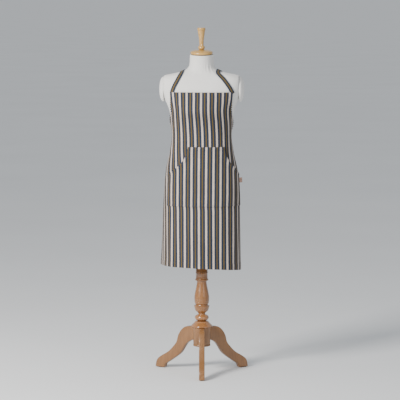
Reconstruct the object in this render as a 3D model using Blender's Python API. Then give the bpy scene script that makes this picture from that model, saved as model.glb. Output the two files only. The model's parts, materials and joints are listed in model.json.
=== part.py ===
"""A striped bib apron worn by a headless dress form on a turned wooden tripod stand.

Metres, +Z up. The form's front faces -Y, and +X is to its left, so a person who looks at the
front sees +X on the right. The stand's axis is vertical; the whole object is moved at the end
so that the middle of its footprint is the origin, with the foot pads on z = 0.
"""

import math

import bmesh
import bpy
from mathutils import Matrix, Vector
from mathutils.bvhtree import BVHTree

# ---------------------------------------------------------------- driving dimensions
CLEARANCE = 0.0003          # gap between faces that touch on the real object
SEGMENTS = 24               # facets round a turned piece

# tripod
LEG_REACH = 0.262           # stand axis to the toe
LEG_THICKNESS = 0.028
LEG_COUNT = 3
HEEL_RADIUS = 0.2110        # stand axis to the back of the foot
PAD_HEIGHT = 0.003
PAD_RADIUS = 0.012
BOLT_RADIUS = 0.004
BOLT_LENGTH = 0.062
BOLT_HEIGHT = 0.190
BOLT_INNER_RADIUS = 0.014   # stand axis to a bolt's inner end

# turned wood of the stand, from the floor up
HUB_BOTTOM = 0.129
HUB_TOP = 0.2250
HUB_LOW_RADIUS = 0.0415
HUB_HIGH_RADIUS = 0.0455
FLANGE_OVERHANG = 0.008     # the flange past the hub's top
LEG_TOP_OVERHANG = 0.009    # where a leg's level top starts, past the hub's top
TURNING_HEIGHT = 0.0665     # flange, bead and neck above the hub
BEAD_RADIUS = 0.0355
NECK_RADIUS = 0.0170
BALUSTER_HEIGHT = 0.1655
BALUSTER_RADIUS = 0.0388
COLUMN_HEIGHT = 0.092
COLUMN_RADIUS = 0.0292
COLUMN_RING_RADIUS = 0.0335

# steel of the stand
ROD_RADIUS = 0.005
ROD_PAST_NUT = 0.006
ROD_IN_BALUSTER = 0.009
NUT_RADIUS = 0.011
NUT_HEIGHT = 0.008
WASHER_RADIUS = 0.016
WASHER_HEIGHT = 0.002
POLE_RADIUS = 0.0125
POLE_RUNNING_GAP = 0.0004
POLE_TRAVEL_DOWN = 0.100
POLE_GRIP = 0.120           # pole inside the wooden column at rest
COLLAR_HEIGHT = 0.030
COLLAR_RADIUS = 0.0225
SCREW_RADIUS = 0.003
SCREW_LENGTH = 0.034
KNOB_RADIUS = 0.015
KNOB_LENGTH = 0.014
KNOB_LOBES = 6

# dress form
FORM_BOTTOM = 0.790
FORM_TOP = 1.577
FORM_WALL = 0.004
COVER_THICKNESS = 0.0012
FORM_COLUMNS = 24
ARMHOLE_X = 0.184           # flat plate where an arm would start
BUST_X = 0.076
BUST_Z = 1.305
BUST_SPREAD = 0.048
BUST_RISE = 0.016
BUST_CLOTH_RISE = 0.023     # how far the cloth bridges out over the bust
NECK_TILT = math.radians(5.5)
FORM_YAW = math.radians(-5.0)   # the form is turned a little to its right on the pole
BOARD_HEIGHT = 0.018
BOARD_RECESS = 0.005
SOCKET_WALL = 0.0035
SOCKET_HEIGHT = 0.110
SOCKET_FLANGE_RADIUS = 0.040
SOCKET_FLANGE_HEIGHT = 0.004

ARM_CAP_Z = 1.407
ARM_CAP_HALF_HEIGHT = 0.0615
ARM_CAP_HALF_DEPTH = 0.050
ARM_CAP_RISE = 0.0235
ARM_PEG_RADIUS = 0.010
ARM_PEG_LENGTH = 0.018

CAP_RADIUS = 0.0555
CAP_HEIGHT = 0.0225
CAP_RIM = 0.008             # radius of the cap's rounded edge
FINIAL_HEIGHT = 0.1105
FINIAL_RADIUS = 0.020
FINIAL_BALL_RADIUS = 0.0167
FINIAL_SCREW_RADIUS = 0.0035
FINIAL_SCREW_LENGTH = 0.026

# apron
CLOTH_THICKNESS = 0.0014
CLOTH_CLEARANCE = 0.0042    # cloth to the form's cover
BIB_TOP = 1.3955
BIB_HALF_WIDTH = 0.158
BIB_SHIFT = 0.006           # the bib's top sits a little to the form's left
WAIST_CORNER = 1.112
SKIRT_HALF_WIDTH = 0.330
HEM = 0.536
HEM_SLOPE = 0.0426          # the hem falls this much for each metre towards the form's left
HEM_BOW = 0.13              # and dips at both sides, by this times the square of the distance
APRON_COLUMNS = 26
POCKET_TOP = 1.128
POCKET_CORNER = 0.985       # where the slanted hand opening meets the pocket's side
POCKET_BOTTOM = 0.838
POCKET_CENTRE = 0.031
POCKET_TOP_HALF_WIDTH = 0.091
POCKET_HALF_WIDTH = 0.213
POCKET_OPENING_CURVE = 2.3  # 1 would be a straight hand opening; more is more hollow
POCKET_COLUMNS = 18
POCKET_GAP = 0.0032          # room between the pocket and the panel behind it
STRAP_WIDTH = 0.021
STRAP_THICKNESS = 0.0016
STRAP_CLEARANCE = 0.006
STRAP_START_RIGHT = 0.140   # middle of the form to the strap's middle at the bib's top
STRAP_START_LEFT = 0.160
TIE_WIDTH = 0.024
TIE_Z = 1.096
TIE_GAP = 0.004             # from the skirt corner to the modelled start of its tie
KNOT_WIDTH = 0.026
KNOT_HEIGHT = 0.028
KNOT_DEPTH = 0.014
LOOP_LENGTH = 0.085
LOOP_BULGE = 0.011
TAIL_LENGTH = 0.290
TAIL_SPREAD = 0.060
LABEL_HEIGHT = 0.025
LABEL_WIDTH = 0.016
LABEL_THICKNESS = 0.0008
LABEL_Z = 0.959

# The form's level sections: height, half width, front and back depth from the pole's axis,
# squareness of the oval, forward tilt of the section in degrees.
FORM_SECTIONS = (
    (FORM_BOTTOM, 0.168, 0.112, 0.108, 2.2, 0.0),
    (0.900, 0.180, 0.118, 0.122, 2.2, 0.0),
    (1.000, 0.172, 0.112, 0.116, 2.2, 0.0),
    (1.100, 0.151, 0.102, 0.098, 2.2, 0.0),
    (1.180, 0.141, 0.092, 0.088, 2.2, 0.0),
    (1.250, 0.149, 0.104, 0.092, 2.2, 0.0),
    (1.310, 0.160, 0.113, 0.100, 2.2, 0.0),
    (1.360, 0.181, 0.108, 0.104, 2.3, 0.0),
    (1.420, 0.203, 0.096, 0.104, 2.4, 0.0),
    (1.455, 0.204, 0.082, 0.096, 2.4, 0.0),
    (1.471, 0.186, 0.074, 0.088, 2.3, 0.0),
    (1.482, 0.138, 0.068, 0.080, 2.2, 0.0),
    (1.493, 0.094, 0.065, 0.070, 2.1, 0.5),
    (1.507, 0.070, 0.063, 0.062, 2.0, 1.5),
    (1.527, 0.0592, 0.063, 0.057, 2.0, 3.0),
    (FORM_TOP, 0.0560, 0.066, 0.046, 2.0, math.degrees(NECK_TILT)),
)
FORM_ROWS = (0.845, 0.950, 1.050, 1.140, 1.215, 1.280, 1.335, 1.390, 1.440)

# Where the skirt hangs clear of the form: height, half width, front and back depth.
HANG_SECTIONS = (
    (HEM, 0.197, 0.152, 0.140),
    (0.750, 0.192, 0.140, 0.134),
    (0.900, 0.186, 0.124, 0.128),
    (1.000, 0.150, 0.100, 0.100),
    (FORM_TOP, 0.010, 0.010, 0.010),
)
APRON_ROWS = (
    BIB_TOP, 1.360, 1.330, 1.300, 1.270, 1.240, 1.210, 1.180, 1.150, 1.130,
    WAIST_CORNER, 1.080, 1.030, 0.980, 0.930, 0.880, 0.820, 0.750, 0.680, 0.600, HEM,
)
POCKET_ROWS = (
    POCKET_TOP, 1.100, 1.070, 1.045, 1.025, 1.005, POCKET_CORNER, 0.930, 0.880, POCKET_BOTTOM,
)

# heights that follow from the ones above
TURNING_BOTTOM = HUB_TOP + CLEARANCE
BALUSTER_BOTTOM = TURNING_BOTTOM + TURNING_HEIGHT + CLEARANCE
COLUMN_BOTTOM = BALUSTER_BOTTOM + BALUSTER_HEIGHT + CLEARANCE
COLUMN_TOP = COLUMN_BOTTOM + COLUMN_HEIGHT
COLLAR_BOTTOM = COLUMN_TOP + CLEARANCE
COLLAR_MIDDLE = COLLAR_BOTTOM + COLLAR_HEIGHT / 2
BOARD_BOTTOM = FORM_BOTTOM + BOARD_RECESS
BOARD_TOP = BOARD_BOTTOM + BOARD_HEIGHT
SOCKET_INNER_RADIUS = POLE_RADIUS + POLE_RUNNING_GAP
SOCKET_OUTER_RADIUS = SOCKET_INNER_RADIUS + SOCKET_WALL
SOCKET_TOP = BOARD_BOTTOM + SOCKET_HEIGHT
POLE_BOTTOM = COLUMN_TOP - POLE_GRIP
POLE_TOP = SOCKET_TOP - SOCKET_WALL - CLEARANCE
BORE_RADIUS = POLE_RADIUS + POLE_RUNNING_GAP
BORE_BOTTOM = POLE_BOTTOM - POLE_TRAVEL_DOWN - 0.010
ROD_BORE_RADIUS = ROD_RADIUS + CLEARANCE
ROD_TOP = BALUSTER_BOTTOM + ROD_IN_BALUSTER
COVER_OUTSIDE = CLEARANCE + COVER_THICKNESS
APRON_INSIDE = COVER_OUTSIDE + CLOTH_CLEARANCE
POCKET_INSIDE = CLOTH_THICKNESS + POCKET_GAP


# ---------------------------------------------------------------- materials
def material(name, colour, roughness, metallic=0.0):
    """One plain finish for one piece."""
    made = bpy.data.materials.new(name)
    made.use_nodes = True
    shader = made.node_tree.nodes["Principled BSDF"]
    shader.inputs["Base Color"].default_value = (*colour, 1.0)
    shader.inputs["Roughness"].default_value = roughness
    shader.inputs["Metallic"].default_value = metallic
    made.diffuse_color = (*colour, 1.0)
    return made


FINISHES = {
    "pale_wood": ((0.50, 0.33, 0.17), 0.40, 0.0),
    "varnished_wood": ((0.42, 0.20, 0.075), 0.25, 0.0),
    "golden_wood": ((0.62, 0.37, 0.13), 0.25, 0.0),
    "board_wood": ((0.40, 0.28, 0.16), 0.70, 0.0),
    "steel": ((0.55, 0.56, 0.58), 0.30, 1.0),
    "black_steel": ((0.03, 0.03, 0.035), 0.45, 1.0),
    "felt": ((0.10, 0.08, 0.06), 0.95, 0.0),
    "form_shell": ((0.70, 0.68, 0.63), 0.60, 0.0),
    "jersey": ((0.66, 0.65, 0.63), 0.90, 0.0),
    "striped_cloth": ((0.30, 0.27, 0.22), 0.85, 0.0),
    "strap_cloth": ((0.08, 0.10, 0.13), 0.85, 0.0),
    "label_cloth": ((0.60, 0.45, 0.40), 0.80, 0.0),
}


# ---------------------------------------------------------------- shaping helpers
def add_piece(name, bm, finish, parent=None, sharp_angle=40.0):
    """Turns a bmesh into a named object with its own material and smooth shading."""
    bmesh.ops.recalc_face_normals(bm, faces=bm.faces)
    mesh = bpy.data.meshes.new(name)
    bm.to_mesh(mesh)
    bm.free()
    mesh.shade_smooth()
    mesh.set_sharp_from_angle(angle=math.radians(sharp_angle))
    mesh.materials.append(material(name, *FINISHES[finish]))
    piece = bpy.data.objects.new(name, mesh)
    bpy.context.scene.collection.objects.link(piece)
    piece.parent = parent
    return piece


def add_axis(name, place, parent=None, turn=(0.0, 0.0, 0.0)):
    """An empty on a joint's axis, for the pieces that move with it."""
    axis = bpy.data.objects.new(name, None)
    bpy.context.scene.collection.objects.link(axis)
    axis.location = place
    axis.rotation_euler = turn
    axis.parent = parent
    return axis


def turned(profile, segments=SEGMENTS, closed=False):
    """A profile of (radius, height) spun round +Z. A closed profile leaves a bore in the middle."""
    bm = bmesh.new()
    line = [bm.verts.new((radius, 0.0, height)) for radius, height in profile]
    edges = [bm.edges.new(pair) for pair in zip(line, line[1:])]
    if closed:
        edges.append(bm.edges.new((line[-1], line[0])))
    bmesh.ops.spin(
        bm, geom=line + edges, cent=(0, 0, 0), axis=(0, 0, 1),
        angle=math.tau, steps=segments, use_merge=True,
    )
    bmesh.ops.remove_doubles(bm, verts=bm.verts, dist=1e-6)
    return bm


def loft(rings):
    """Joins rings of equally many points into a skin, with a flat face on each end."""
    bm = bmesh.new()
    rows = [[bm.verts.new(point) for point in ring] for ring in rings]
    for low, high in zip(rows, rows[1:]):
        count = len(low)
        for i in range(count):
            j = (i + 1) % count
            bm.faces.new((low[i], low[j], high[j], high[i]))
    bm.faces.new(rows[0])
    bm.faces.new(rows[-1])
    return bm


def cylinder(radius, start, end, segments=12):
    """A plain round bar between two points."""
    start, end = Vector(start), Vector(end)
    turn = (end - start).to_track_quat("Z", "Y").to_matrix()
    rings = []
    for centre in (start, end):
        ring = []
        for i in range(segments):
            angle = math.tau * (i + 0.5) / segments
            ring.append(centre + turn @ Vector((math.cos(angle), math.sin(angle), 0)) * radius)
        rings.append(ring)
    return loft(rings)


def cut(piece, name, bm):
    """Cuts a hidden cutter's shape out of a piece."""
    bmesh.ops.recalc_face_normals(bm, faces=bm.faces)
    mesh = bpy.data.meshes.new(name)
    bm.to_mesh(mesh)
    bm.free()
    cutter = bpy.data.objects.new(name, mesh)
    bpy.context.scene.collection.objects.link(cutter)
    cutter.parent = piece
    cutter.hide_render = True
    cutter.display_type = "WIRE"
    boolean = piece.modifiers.new(name, "BOOLEAN")
    boolean.operation = "DIFFERENCE"
    boolean.solver = "EXACT"
    boolean.object = cutter
    return cutter


def smooth_line(points, steps=3):
    """A Catmull-Rom curve through the points."""
    line = []
    for i in range(len(points) - 1):
        before = points[max(i - 1, 0)]
        start, end = points[i], points[i + 1]
        after = points[min(i + 2, len(points) - 1)]
        for step in range(steps):
            t = step / steps
            line.append(tuple(
                0.5 * (2 * b + (c - a) * t + (2 * a - 5 * b + 4 * c - d) * t * t
                       + (3 * b - a - 3 * c + d) * t ** 3)
                for a, b, c, d in zip(before, start, end, after)
            ))
    line.append(tuple(points[-1]))
    return line


def arc(centre, radius, start, end, steps):
    """Points on a circle's arc in the (radius, height) plane; angles in degrees."""
    points = []
    for i in range(steps + 1):
        angle = math.radians(start + (end - start) * i / steps)
        points.append((centre[0] + radius * math.cos(angle), centre[1] + radius * math.sin(angle)))
    return points


def eased(stations, height):
    """The stations' columns at a height, on curves that don't overshoot."""
    rows = sorted(stations)
    height = min(max(height, rows[0][0]), rows[-1][0])
    k = max(i for i in range(len(rows) - 1) if rows[i][0] <= height)
    span = rows[k + 1][0] - rows[k][0]
    t = (height - rows[k][0]) / span
    values = []
    for column in range(1, len(rows[0])):
        rise = [
            (rows[i + 1][column] - rows[i][column]) / (rows[i + 1][0] - rows[i][0])
            for i in range(len(rows) - 1)
        ]
        slope = []
        for end in (k, k + 1):
            before, after = rise[max(end - 1, 0)], rise[min(end, len(rise) - 1)]
            slope.append(2 * before * after / (before + after) if before * after > 0 else 0.0)
        a, b = rows[k][column], rows[k + 1][column]
        values.append(
            a * (2 * t ** 3 - 3 * t * t + 1) + b * (3 * t * t - 2 * t ** 3)
            + span * slope[0] * (t ** 3 - 2 * t * t + t) + span * slope[1] * (t ** 3 - t * t)
        )
    return values


# ---------------------------------------------------------------- stand
def hub_radius(height):
    share = (height - HUB_BOTTOM) / (HUB_TOP - HUB_BOTTOM)
    return HUB_LOW_RADIUS + (HUB_HIGH_RADIUS - HUB_LOW_RADIUS) * share


def leg_outline():
    """An S-curved leg from the side: the upper edge out to the toe, then the lower edge back."""
    sole = PAD_HEIGHT + CLEARANCE
    top = HUB_TOP - 0.001
    inside = HUB_LOW_RADIUS * 0.9
    upper = [
        (HUB_HIGH_RADIUS + LEG_TOP_OVERHANG, top), (0.085, top - 0.003), (0.109, 0.205),
        (0.1285, 0.176), (0.1395, 0.140), (0.1555, 0.118), (0.186, 0.087), (0.2235, 0.064),
        (LEG_REACH - 0.015, 0.047), (LEG_REACH - 0.005, 0.030), (LEG_REACH, sole),
    ]
    lower = [
        (HEEL_RADIUS, sole), (0.2035, 0.0216), (0.178, 0.039), (0.1405, 0.065),
        (0.115, 0.087), (0.093, 0.120), (0.078, 0.139), (0.053, 0.1545),
    ]
    return [(inside, top)] + smooth_line(upper, 2) + smooth_line(lower, 2) + [(inside, 0.158)]


def leg_turn(index):
    """Leg 0 points to the front, the others follow round the axis."""
    return Matrix.Rotation(math.tau * index / LEG_COUNT - math.pi / 2, 4, "Z")


def make_leg(name, index, stand):
    """A leg with its end hollowed to the hub and a hole for its bolt."""
    outline = leg_outline()
    half = LEG_THICKNESS / 2
    rings = [[Vector((x, side, z)) for x, z in outline] for side in (-half, half)]
    bm = loft(rings)
    bmesh.ops.transform(bm, matrix=leg_turn(index), verts=bm.verts)
    leg = add_piece(name, bm, "pale_wood", stand, 35)
    low, high = HUB_BOTTOM - 0.01, HUB_TOP + 0.01
    seat = turned(
        [(0, low), (hub_radius(low) + CLEARANCE, low), (hub_radius(high) + CLEARANCE, high), (0, high)],
        SEGMENTS * 2,
    )
    cut(leg, name + "_seat_cutter", seat)
    cut(leg, name + "_bolt_cutter", bolt_shape(index, BOLT_RADIUS + CLEARANCE, CLEARANCE))
    return leg


def bolt_shape(index, radius, extra):
    """A leg bolt, or the hole for it, along its leg."""
    turn = leg_turn(index)
    start = turn @ Vector((BOLT_INNER_RADIUS - extra, 0, BOLT_HEIGHT))
    end = turn @ Vector((BOLT_INNER_RADIUS + BOLT_LENGTH + extra, 0, BOLT_HEIGHT))
    return cylinder(radius, start, end, 10)


def make_pad(name, index, stand):
    """The felt pad under one foot."""
    middle = (LEG_REACH + HEEL_RADIUS) / 2
    bm = turned([(0, 0), (PAD_RADIUS, 0), (PAD_RADIUS, PAD_HEIGHT), (0, PAD_HEIGHT)], 16)
    place = leg_turn(index) @ Vector((middle, 0, 0))
    bmesh.ops.translate(bm, vec=place, verts=bm.verts)
    return add_piece(name, bm, "felt", stand)


def make_hub(stand):
    """The turned block that the legs are bolted to, with the rod's bore through it."""
    lip = HUB_LOW_RADIUS + 0.0015
    profile = [
        (ROD_BORE_RADIUS, HUB_BOTTOM), (lip - 0.003, HUB_BOTTOM), (lip, HUB_BOTTOM + 0.003),
        (lip, HUB_BOTTOM + 0.008), (hub_radius(HUB_BOTTOM + 0.010), HUB_BOTTOM + 0.010),
        (HUB_HIGH_RADIUS, HUB_TOP), (ROD_BORE_RADIUS, HUB_TOP),
    ]
    hub = add_piece("hub", turned(profile, closed=True), "pale_wood", stand)
    for index in range(LEG_COUNT):
        cut(hub, f"hub_bolt_cutter_{index}", bolt_shape(index, BOLT_RADIUS + CLEARANCE, CLEARANCE))
    return hub


def make_turning(stand):
    """Flange, glossy bead and thin neck, turned from one piece."""
    z = TURNING_BOTTOM
    wide = HUB_HIGH_RADIUS + FLANGE_OVERHANG
    profile = [(ROD_BORE_RADIUS, z), (wide - 0.001, z)]
    profile += [(wide, z + 0.002), (wide, z + 0.007), (wide - 0.003, z + 0.010)]
    profile += [(wide - 0.010, z + 0.017), (BEAD_RADIUS - 0.0033, z + 0.029)]
    half = 0.0165
    reach = BEAD_RADIUS - 0.012
    for angle in range(-70, 71, 20):
        turn = math.radians(angle)
        profile.append((0.012 + reach * math.cos(turn), z + 0.0465 + half * math.sin(turn)))
    profile += [(NECK_RADIUS, z + TURNING_HEIGHT - 0.002), (NECK_RADIUS, z + TURNING_HEIGHT)]
    profile += [(ROD_BORE_RADIUS, z + TURNING_HEIGHT)]
    return add_piece("flange_and_bead", turned(profile, closed=True), "varnished_wood", stand, 50)


def make_baluster(stand):
    """Cup, groove and vase, hollow above for the pole and below for the rod."""
    z = BALUSTER_BOTTOM
    top = z + BALUSTER_HEIGHT
    wide = BALUSTER_RADIUS
    cup = [(NECK_RADIUS, z), (wide - 0.0170, z + 0.0060), (wide - 0.0085, z + 0.0130),
           (wide - 0.0050, z + 0.020), (wide - 0.0015, z + 0.032), (wide, z + 0.0405)]
    vase = [(wide - 0.0085, z + 0.0475), (wide - 0.0035, z + 0.053), (wide - 0.0017, z + 0.066),
            (wide - 0.002, z + 0.086), (wide - 0.0055, z + 0.107), (wide - 0.011, z + 0.133),
            (wide - 0.0146, z + 0.156), (wide - 0.0130, top)]
    outside = cup + [(wide - 0.007, z + 0.0445)] + vase
    inside = [(BORE_RADIUS, top), (BORE_RADIUS, BORE_BOTTOM), (ROD_BORE_RADIUS, BORE_BOTTOM),
              (ROD_BORE_RADIUS, z)]
    return add_piece("baluster", turned(outside + inside, closed=True), "varnished_wood", stand, 50)


def make_column(stand):
    """The upper column with its two rings; the pole slides in it."""
    z, top = COLUMN_BOTTOM, COLUMN_TOP
    ring = COLUMN_RING_RADIUS
    profile = [(BORE_RADIUS, z), (ring - 0.002, z), (ring, z + 0.002), (ring, z + 0.0045)]
    profile += [(ring - 0.002, z + 0.0065), (COLUMN_RADIUS, z + 0.011), (COLUMN_RADIUS, z + 0.036)]
    profile += [(ring - 0.003, z + 0.0385), (ring - 0.003, z + 0.043), (COLUMN_RADIUS, z + 0.046)]
    profile += [(COLUMN_RADIUS - 0.001, top), (BORE_RADIUS, top)]
    return add_piece("upper_column", turned(profile, closed=True), "varnished_wood", stand, 35)


def make_rod_and_fittings(stand):
    """The rod that pulls hub, turning and baluster together, with its nut and washer."""
    washer_bottom = HUB_BOTTOM - CLEARANCE - WASHER_HEIGHT
    nut_bottom = washer_bottom - CLEARANCE - NUT_HEIGHT
    rod = cylinder(ROD_RADIUS, (0, 0, nut_bottom - ROD_PAST_NUT), (0, 0, ROD_TOP), 12)
    add_piece("tie_rod", rod, "black_steel", stand)
    add_piece("rod_washer", washer(ROD_BORE_RADIUS, WASHER_RADIUS, washer_bottom, WASHER_HEIGHT, 18),
              "black_steel", stand)
    hex_bore = ROD_BORE_RADIUS / math.cos(math.pi / 6)
    add_piece("rod_nut", washer(hex_bore, NUT_RADIUS, nut_bottom, NUT_HEIGHT, 6),
              "black_steel", stand, 20)


def washer(inner, outer, bottom, height, segments):
    profile = [(inner, bottom), (outer, bottom), (outer, bottom + height), (inner, bottom + height)]
    return turned(profile, segments, closed=True)


def make_collar(stand):
    """The steel clamp ring on the column, with a tapped hole for its screw at the back."""
    ring = washer(BORE_RADIUS, COLLAR_RADIUS, COLLAR_BOTTOM, COLLAR_HEIGHT, SEGMENTS)
    collar = add_piece("clamp_collar", ring, "steel", stand)
    hole = cylinder(SCREW_RADIUS + CLEARANCE, (0, POLE_RADIUS / 2, COLLAR_MIDDLE),
                    (0, COLLAR_RADIUS * 1.5, COLLAR_MIDDLE), 10)
    cut(collar, "collar_hole_cutter", hole)
    return collar


def make_clamp_screw(stand):
    """The clamp screw and its lobed knob, on their own turning axis."""
    axis = add_axis("clamp_screw_axis", (0, 0, COLLAR_MIDDLE), stand)
    start = POLE_RADIUS + POLE_RUNNING_GAP
    shank_end = start + SCREW_LENGTH
    count = KNOB_LOBES * 4

    def ring(radius, y, lobe=0.0):
        points = []
        for i in range(count):
            angle = math.tau * i / count
            size = radius * (1 + lobe * math.cos(KNOB_LOBES * angle))
            points.append(Vector((size * math.cos(angle), y, size * math.sin(angle))))
        return points

    rings = [
        ring(SCREW_RADIUS, start), ring(SCREW_RADIUS, shank_end),
        ring(KNOB_RADIUS * 0.9, shank_end + 0.001, 0.10), ring(KNOB_RADIUS, shank_end + 0.004, 0.10),
        ring(KNOB_RADIUS, shank_end + KNOB_LENGTH - 0.003, 0.10),
        ring(KNOB_RADIUS * 0.85, shank_end + KNOB_LENGTH, 0.10),
    ]
    return add_piece("clamp_screw", loft(rings), "black_steel", axis, 40)


# ---------------------------------------------------------------- dress form
def form_point(height, angle):
    """A point of the form's surface. Angle 0 is the front, and it grows towards +X."""
    half, front, back, square, tilt = eased(FORM_SECTIONS, height)
    power = 2 / square
    x = math.copysign(half * abs(math.sin(angle)) ** power, math.sin(angle))
    depth = front if math.cos(angle) > 0 else back
    y = -math.copysign(depth * abs(math.cos(angle)) ** power, math.cos(angle))
    middle = (back - front) / 2
    z = height + (y - middle) * math.tan(math.radians(tilt))
    if math.cos(angle) > 0:
        for side in (-1, 1):
            away = ((x - side * BUST_X) ** 2 + (height - BUST_Z) ** 2) / BUST_SPREAD ** 2
            y -= BUST_RISE * math.exp(-away)
    return Vector((min(max(x, -ARMHOLE_X), ARMHOLE_X), y, z))


def form_grid():
    """The form's surface as rows of points, from the bottom up."""
    heights = sorted([row[0] for row in FORM_SECTIONS] + list(FORM_ROWS))
    return [
        [form_point(z, math.tau * i / FORM_COLUMNS) for i in range(FORM_COLUMNS)]
        for z in heights
    ]


def grid_normals(rows, around):
    """The outward normal at each point of a grid; around says that its rows are closed."""
    count = len(rows[0])
    normals = []
    for r in range(len(rows)):
        line = []
        for c in range(count):
            if around:
                side = rows[r][(c + 1) % count] - rows[r][c - 1]
            else:
                side = rows[r][min(c + 1, count - 1)] - rows[r][max(c - 1, 0)]
            rise = rows[min(r + 1, len(rows) - 1)][c] - rows[max(r - 1, 0)][c]
            normal = side.cross(rise)
            outward = Vector((rows[r][c].x, rows[r][c].y, 0))
            line.append(normal.normalized() * (1 if normal.dot(outward) > 0 else -1))
        normals.append(line)
    return normals


def shell(rows, inner, outer, around):
    """A closed wall between two offsets of a grid."""
    normals = grid_normals(rows, around)
    bm = bmesh.new()
    layers = []
    for offset in (inner, outer):
        layers.append([
            [bm.verts.new(p + n * offset) for p, n in zip(line, directions)]
            for line, directions in zip(rows, normals)
        ])
    count = len(rows[0])
    spans = range(count) if around else range(count - 1)
    for layer in layers:
        for r in range(len(rows) - 1):
            for c in spans:
                d = (c + 1) % count
                bm.faces.new((layer[r][c], layer[r][d], layer[r + 1][d], layer[r + 1][c]))
    inside, outside = layers
    for r in (0, len(rows) - 1):
        for c in spans:
            d = (c + 1) % count
            bm.faces.new((inside[r][c], inside[r][d], outside[r][d], outside[r][c]))
    if not around:
        for c in (0, count - 1):
            for r in range(len(rows) - 1):
                bm.faces.new((inside[r][c], inside[r + 1][c], outside[r + 1][c], outside[r][c]))
    return bm


def make_form(torso):
    """The moulded shell and its stretched jersey cover, each with a hole for the arm caps' pegs."""
    rows = form_grid()
    made = []
    for name, inner, outer, finish in (
        ("form_shell", -FORM_WALL, 0.0, "form_shell"),
        ("jersey_cover", CLEARANCE, COVER_OUTSIDE, "jersey"),
    ):
        bm = shell(rows, inner, outer, True)
        bmesh.ops.triangulate(bm, faces=bm.faces)
        piece = add_piece(name, bm, finish, torso, 60)
        for side, word in ((-1, "right"), (1, "left")):
            hole = cylinder(ARM_PEG_RADIUS + CLEARANCE, (side * ARMHOLE_X * 0.8, 0, ARM_CAP_Z),
                            (side * ARMHOLE_X * 1.2, 0, ARM_CAP_Z), 16)
            cut(piece, f"{name}_{word}_peg_cutter", hole)
        made.append(piece)
    return made


def make_base_board(torso):
    """The wooden board that closes the form below and holds the pole's socket."""
    half, front, back, square, _ = eased(FORM_SECTIONS, FORM_BOTTOM)
    inset = FORM_WALL + 0.0012
    power = 2 / square
    count = FORM_COLUMNS
    rings = []
    for z in (BOARD_BOTTOM, BOARD_TOP):
        ring = []
        for i in range(count):
            angle = math.tau * i / count
            depth = (front if math.cos(angle) > 0 else back) - inset
            x = math.copysign((half - inset) * abs(math.sin(angle)) ** power, math.sin(angle))
            y = -math.copysign(depth * abs(math.cos(angle)) ** power, math.cos(angle))
            ring.append(Vector((x, y, z)))
        rings.append(ring)
    board = add_piece("base_board", loft(rings), "board_wood", torso, 40)
    low, high = (0, 0, BOARD_BOTTOM - 0.01), (0, 0, BOARD_TOP + 0.01)
    hole = cylinder(SOCKET_OUTER_RADIUS + CLEARANCE, low, high, SEGMENTS)
    cut(board, "board_hole_cutter", hole)
    return board


def make_socket(torso):
    """The steel socket that turns on the pole's end and carries the form."""
    flange = BOARD_TOP + CLEARANCE
    profile = [
        (0, SOCKET_TOP - SOCKET_WALL), (SOCKET_INNER_RADIUS, SOCKET_TOP - SOCKET_WALL),
        (SOCKET_INNER_RADIUS, BOARD_BOTTOM), (SOCKET_OUTER_RADIUS, BOARD_BOTTOM),
        (SOCKET_OUTER_RADIUS, flange), (SOCKET_FLANGE_RADIUS, flange),
        (SOCKET_FLANGE_RADIUS, flange + SOCKET_FLANGE_HEIGHT),
        (SOCKET_OUTER_RADIUS, flange + SOCKET_FLANGE_HEIGHT), (SOCKET_OUTER_RADIUS, SOCKET_TOP),
        (0, SOCKET_TOP),
    ]
    return add_piece("pole_socket", turned(profile), "steel", torso, 30)


def make_pole(parent):
    """The steel pole, which slides in the column."""
    pole = cylinder(POLE_RADIUS, (0, 0, POLE_BOTTOM), (0, 0, POLE_TOP), SEGMENTS)
    return add_piece("pole", pole, "steel", parent)


def make_arm_cap(word, side, torso):
    """A covered dome that closes an armhole, with a peg that pushes into the form."""
    base = ARMHOLE_X + COVER_OUTSIDE + CLEARANCE
    axis = add_axis(f"arm_cap_{word}_axis", (side * base, 0, ARM_CAP_Z), torso)
    count = 24
    rings = []
    for degrees in (86, 68, 50, 32, 15, 0):
        turn = math.radians(degrees)
        size = math.cos(turn)
        rise = ARM_CAP_RISE * math.sin(turn) ** 0.8 if degrees else 0.0
        rings.append([
            Vector((side * rise, ARM_CAP_HALF_DEPTH * size * math.cos(math.tau * i / count),
                    ARM_CAP_HALF_HEIGHT * size * math.sin(math.tau * i / count)))
            for i in range(count)
        ])
    for depth in (0.0, ARM_PEG_LENGTH):
        rings.append([
            Vector((-side * depth, ARM_PEG_RADIUS * math.cos(math.tau * i / count),
                    ARM_PEG_RADIUS * math.sin(math.tau * i / count)))
            for i in range(count)
        ])
    return add_piece(f"arm_cap_{word}", loft(rings), "jersey", axis, 60)


def make_neck_cap(neck):
    """The turned wooden lid on the neck, with a bore for the finial's screw."""
    bore = FINIAL_SCREW_RADIUS + CLEARANCE
    low = COVER_OUTSIDE
    top = low + CAP_HEIGHT
    rim = arc((CAP_RADIUS - CAP_RIM, low + CAP_RIM), CAP_RIM, -60, 50, 4)
    dome = [(CAP_RADIUS - 0.010, top - 0.0058), (CAP_RADIUS - 0.021, top - 0.0024),
            (CAP_RADIUS - 0.036, top - 0.0005), (bore, top)]
    profile = [(bore, low), (CAP_RADIUS - CAP_RIM * 0.6, low)] + rim + dome
    return add_piece("neck_cap", turned(profile, closed=True), "golden_wood", neck, 50)


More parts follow.
